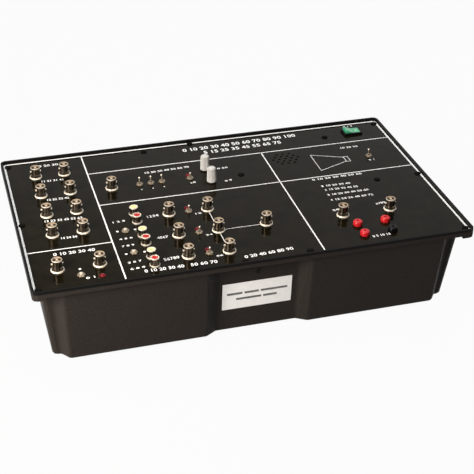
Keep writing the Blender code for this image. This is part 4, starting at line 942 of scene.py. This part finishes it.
# A darker grey, painted shade, for the floors of the flutes.
knob_shade = finish("knob_shade", (0.28, 0.27, 0.26), (0.38, 0.37, 0.355), 0.0014, 0.60, 0.08, specular=0.2)
knob_low, knob_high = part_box("level_knob_01")
knob_foot = knob_low.z - panel_top
top = (knob_high.z - panel_top) / MM
knob_levels = (
    (2.9, top, 0.0), (3.5, top - 0.10, 0.0), (4.0, top - 0.40, 0.0), (4.32, top - 0.85, 0.2),
    (4.45, top - 1.4, 1.0), (4.80, 3.2, 1.0), (4.83, 2.6, 0.0), (4.85, 1.45, 0.0), (4.7, 1.3, 0.0),
)
knob_mesh = gathered("level_knob", [
    fluted([(radius * MM, height * MM, share) for radius, height, share in knob_levels],
           KNOB_FLUTES, FLUTE_DEPTH),
    turned([(0.0, SPINDLE_TOP), (SPINDLE_RADIUS, SPINDLE_TOP), (SPINDLE_RADIUS, knob_foot),
            (0.0, knob_foot)], 32, 1),
    block((-0.35, 1.6, top - 0.3), (0.35, 3.3, top - 0.02), 2),
])
# The nut under each knob has the dark painted reflection of the plating.
control_ring_mesh = gathered("control_ring", [turned(in_mm(CONTROL_RING), 6)])
for number in range(1, 3):
    node = f"level_knob_{number:02d}"
    spot = over_pivot(node)
    fitted(f"knob_{number:02d}", knob_mesh, (knob_grey, nickel_painted_highlight, ink_white, knob_shade), spot,
           node, "knob_plastic", node)
    fitted(f"control_ring_{number:02d}", control_ring_mesh, (nickel_painted_reflections,), spot, "case", "switch_nickel")

# Banana sockets. Round-shouldered moulded heads, three red and one black, over a
# plated tube that takes the plug.
BANANA_HEAD = ((0, -7.3), (1.2, -7.3), (1.2, 4.45), (1.4, 4.66), (1.8, 4.7), (3.1, 4.62), (3.85, 4.3),
               (4.4, 3.65), (4.62, 2.9), (4.65, 1.0), (4.5, 0.0), (4.0, -0.05))
BANANA_TUBE = ((0.9, 3.2), (1.18, 3.2), (1.18, -7.0), (0.9, -7.0), (0.9, 3.2))
banana_red = finish("banana_red", (0.47, 0.008, 0.012), (0.60, 0.018, 0.022), 0.0014, 0.34, 0.06,
                    specular=0.4)
banana_black = finish("banana_black", (0.002, 0.002, 0.003), (0.006, 0.006, 0.008), 0.0014, 0.30, 0.06,
                      specular=0.12)
banana_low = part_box("banana_socket_black_01")[0].z - panel_top
# The plated tube in each bore has the painted highlight.
for colour, plastic, count in (("red", banana_red, 3), ("black", banana_black, 1)):
    banana_mesh = gathered(f"banana_{colour}", [
        turned(down_to(banana_low, BANANA_HEAD), 40),
        turned(in_mm(BANANA_TUBE), 32, 1),
    ])
    for number in range(1, count + 1):
        node = f"banana_socket_{colour}_{number:02d}"
        fitted(f"banana_{colour}_{number:02d}", banana_mesh, (plastic, nickel_painted_highlight),
               middle_of(node, panel_top), "case", f"{colour}_plastic", node)

# Mains switch. A rocker of clear green plastic, lit from inside, in a black bezel;
# a line and a ring on its two ends mark on and off.
ROCKER_GLOW = 0.45
ROCKER_LOW_END = 89.578 * MM
ROCKER_SLOPE = math.radians(22.0)
LINE_REACH = 4.6 * MM
RING_REACH = 4.4 * MM
MARK_LINE = ((-0.3, -1.6, -0.04), (0.3, 1.6, 0.04))
MARK_RING = ((1.1, 0.04), (1.6, 0.04), (1.6, -0.04), (1.1, -0.04), (1.1, 0.04))
bezel_black = finish("bezel_black", (0.003, 0.003, 0.004), (0.008, 0.008, 0.009), 0.002, 0.35, 0.06,
                     specular=0.10)
refinish("power_switch_housing", bezel_black)
rocker_green = finish("rocker_green", (0.020, 0.20, 0.09), (0.045, 0.30, 0.15), 0.004, 0.18, 0.05,
                      coat=0.4)
nodes, links = rocker_green.node_tree.nodes, rocker_green.node_tree.links
links.new(nodes["tones"].outputs["Color"], nodes["Principled BSDF"].inputs["Emission Color"])
nodes["Principled BSDF"].inputs["Emission Strength"].default_value = ROCKER_GLOW
refinish("power_switch_rocker", rocker_green)
line_spot = Matrix.Translation((LINE_REACH, 0.0, 0.0))
ring_spot = (Matrix.Translation((-RING_REACH, 0.0, RING_REACH * math.tan(ROCKER_SLOPE)))
             @ Matrix.Rotation(ROCKER_SLOPE, 4, "Y"))
rocker_marks = gathered("rocker_marks", [
    moved(block(*MARK_LINE), line_spot),
    moved(turned(in_mm(MARK_RING), 24), ring_spot),
])
fitted("rocker_marks", rocker_marks, (ink_white,), middle_of("power_switch_housing", ROCKER_LOW_END),
       "power_switch_rocker", "rocker_green")

# Label. A plain white plastic plate glued in the front recess, with two rows of
# plain printed bars and nothing written on it.
LABEL_LOW = 27.9 * MM
LABEL_HIGH = 57.8 * MM
LABEL_HALF = 33.9 * MM
LABEL_SHIFT = -0.3 * MM
LABEL_CORNER = 0.5 * MM
LABEL_BACK = -0.05 * MM
LABEL_FACE = 0.5 * MM
LABEL_EDGE = 0.1 * MM
BAR_HALF = 1.2
BAR_FOOT = 0.4
BAR_FACE = 0.54
LABEL_BARS = ((2.9, ((-29.5, -14.5), (-12.5, 1.5), (3.5, 29.5))), (-3.6, ((-20.5, 4.0), (6.0, 19.5))))
label_white = finish("label_white", (0.90, 0.90, 0.90), (0.95, 0.95, 0.95), 0.006, 0.45, 0.06,
                     specular=0.35)
label_rule = finish("label_rule", (0.03, 0.03, 0.03), (0.20, 0.20, 0.20), 0.0009, 0.60, 0.06)
label_rise = (LABEL_LOW + LABEL_HIGH) / 2
half_tall = (LABEL_HIGH - LABEL_LOW) / 2
label_rim = rounded(-LABEL_HALF, -half_tall, LABEL_HALF, half_tall, LABEL_CORNER)
label_solids = [plate("label", [label_rim], LABEL_BACK, LABEL_FACE, LABEL_EDGE)]
for height, bars in LABEL_BARS:
    for start, end in bars:
        label_solids.append(block((start, height - BAR_HALF, BAR_FOOT),
                                  (end, height + BAR_HALF, BAR_FACE), 1))
label = fitted("label_plate", gathered("label_plate", label_solids), (label_white, label_rule),
               (LABEL_SHIFT, -recess_wall(label_rise), label_rise), "case", "case_plastic")
label.rotation_euler.x = math.pi / 2 + wall_lean
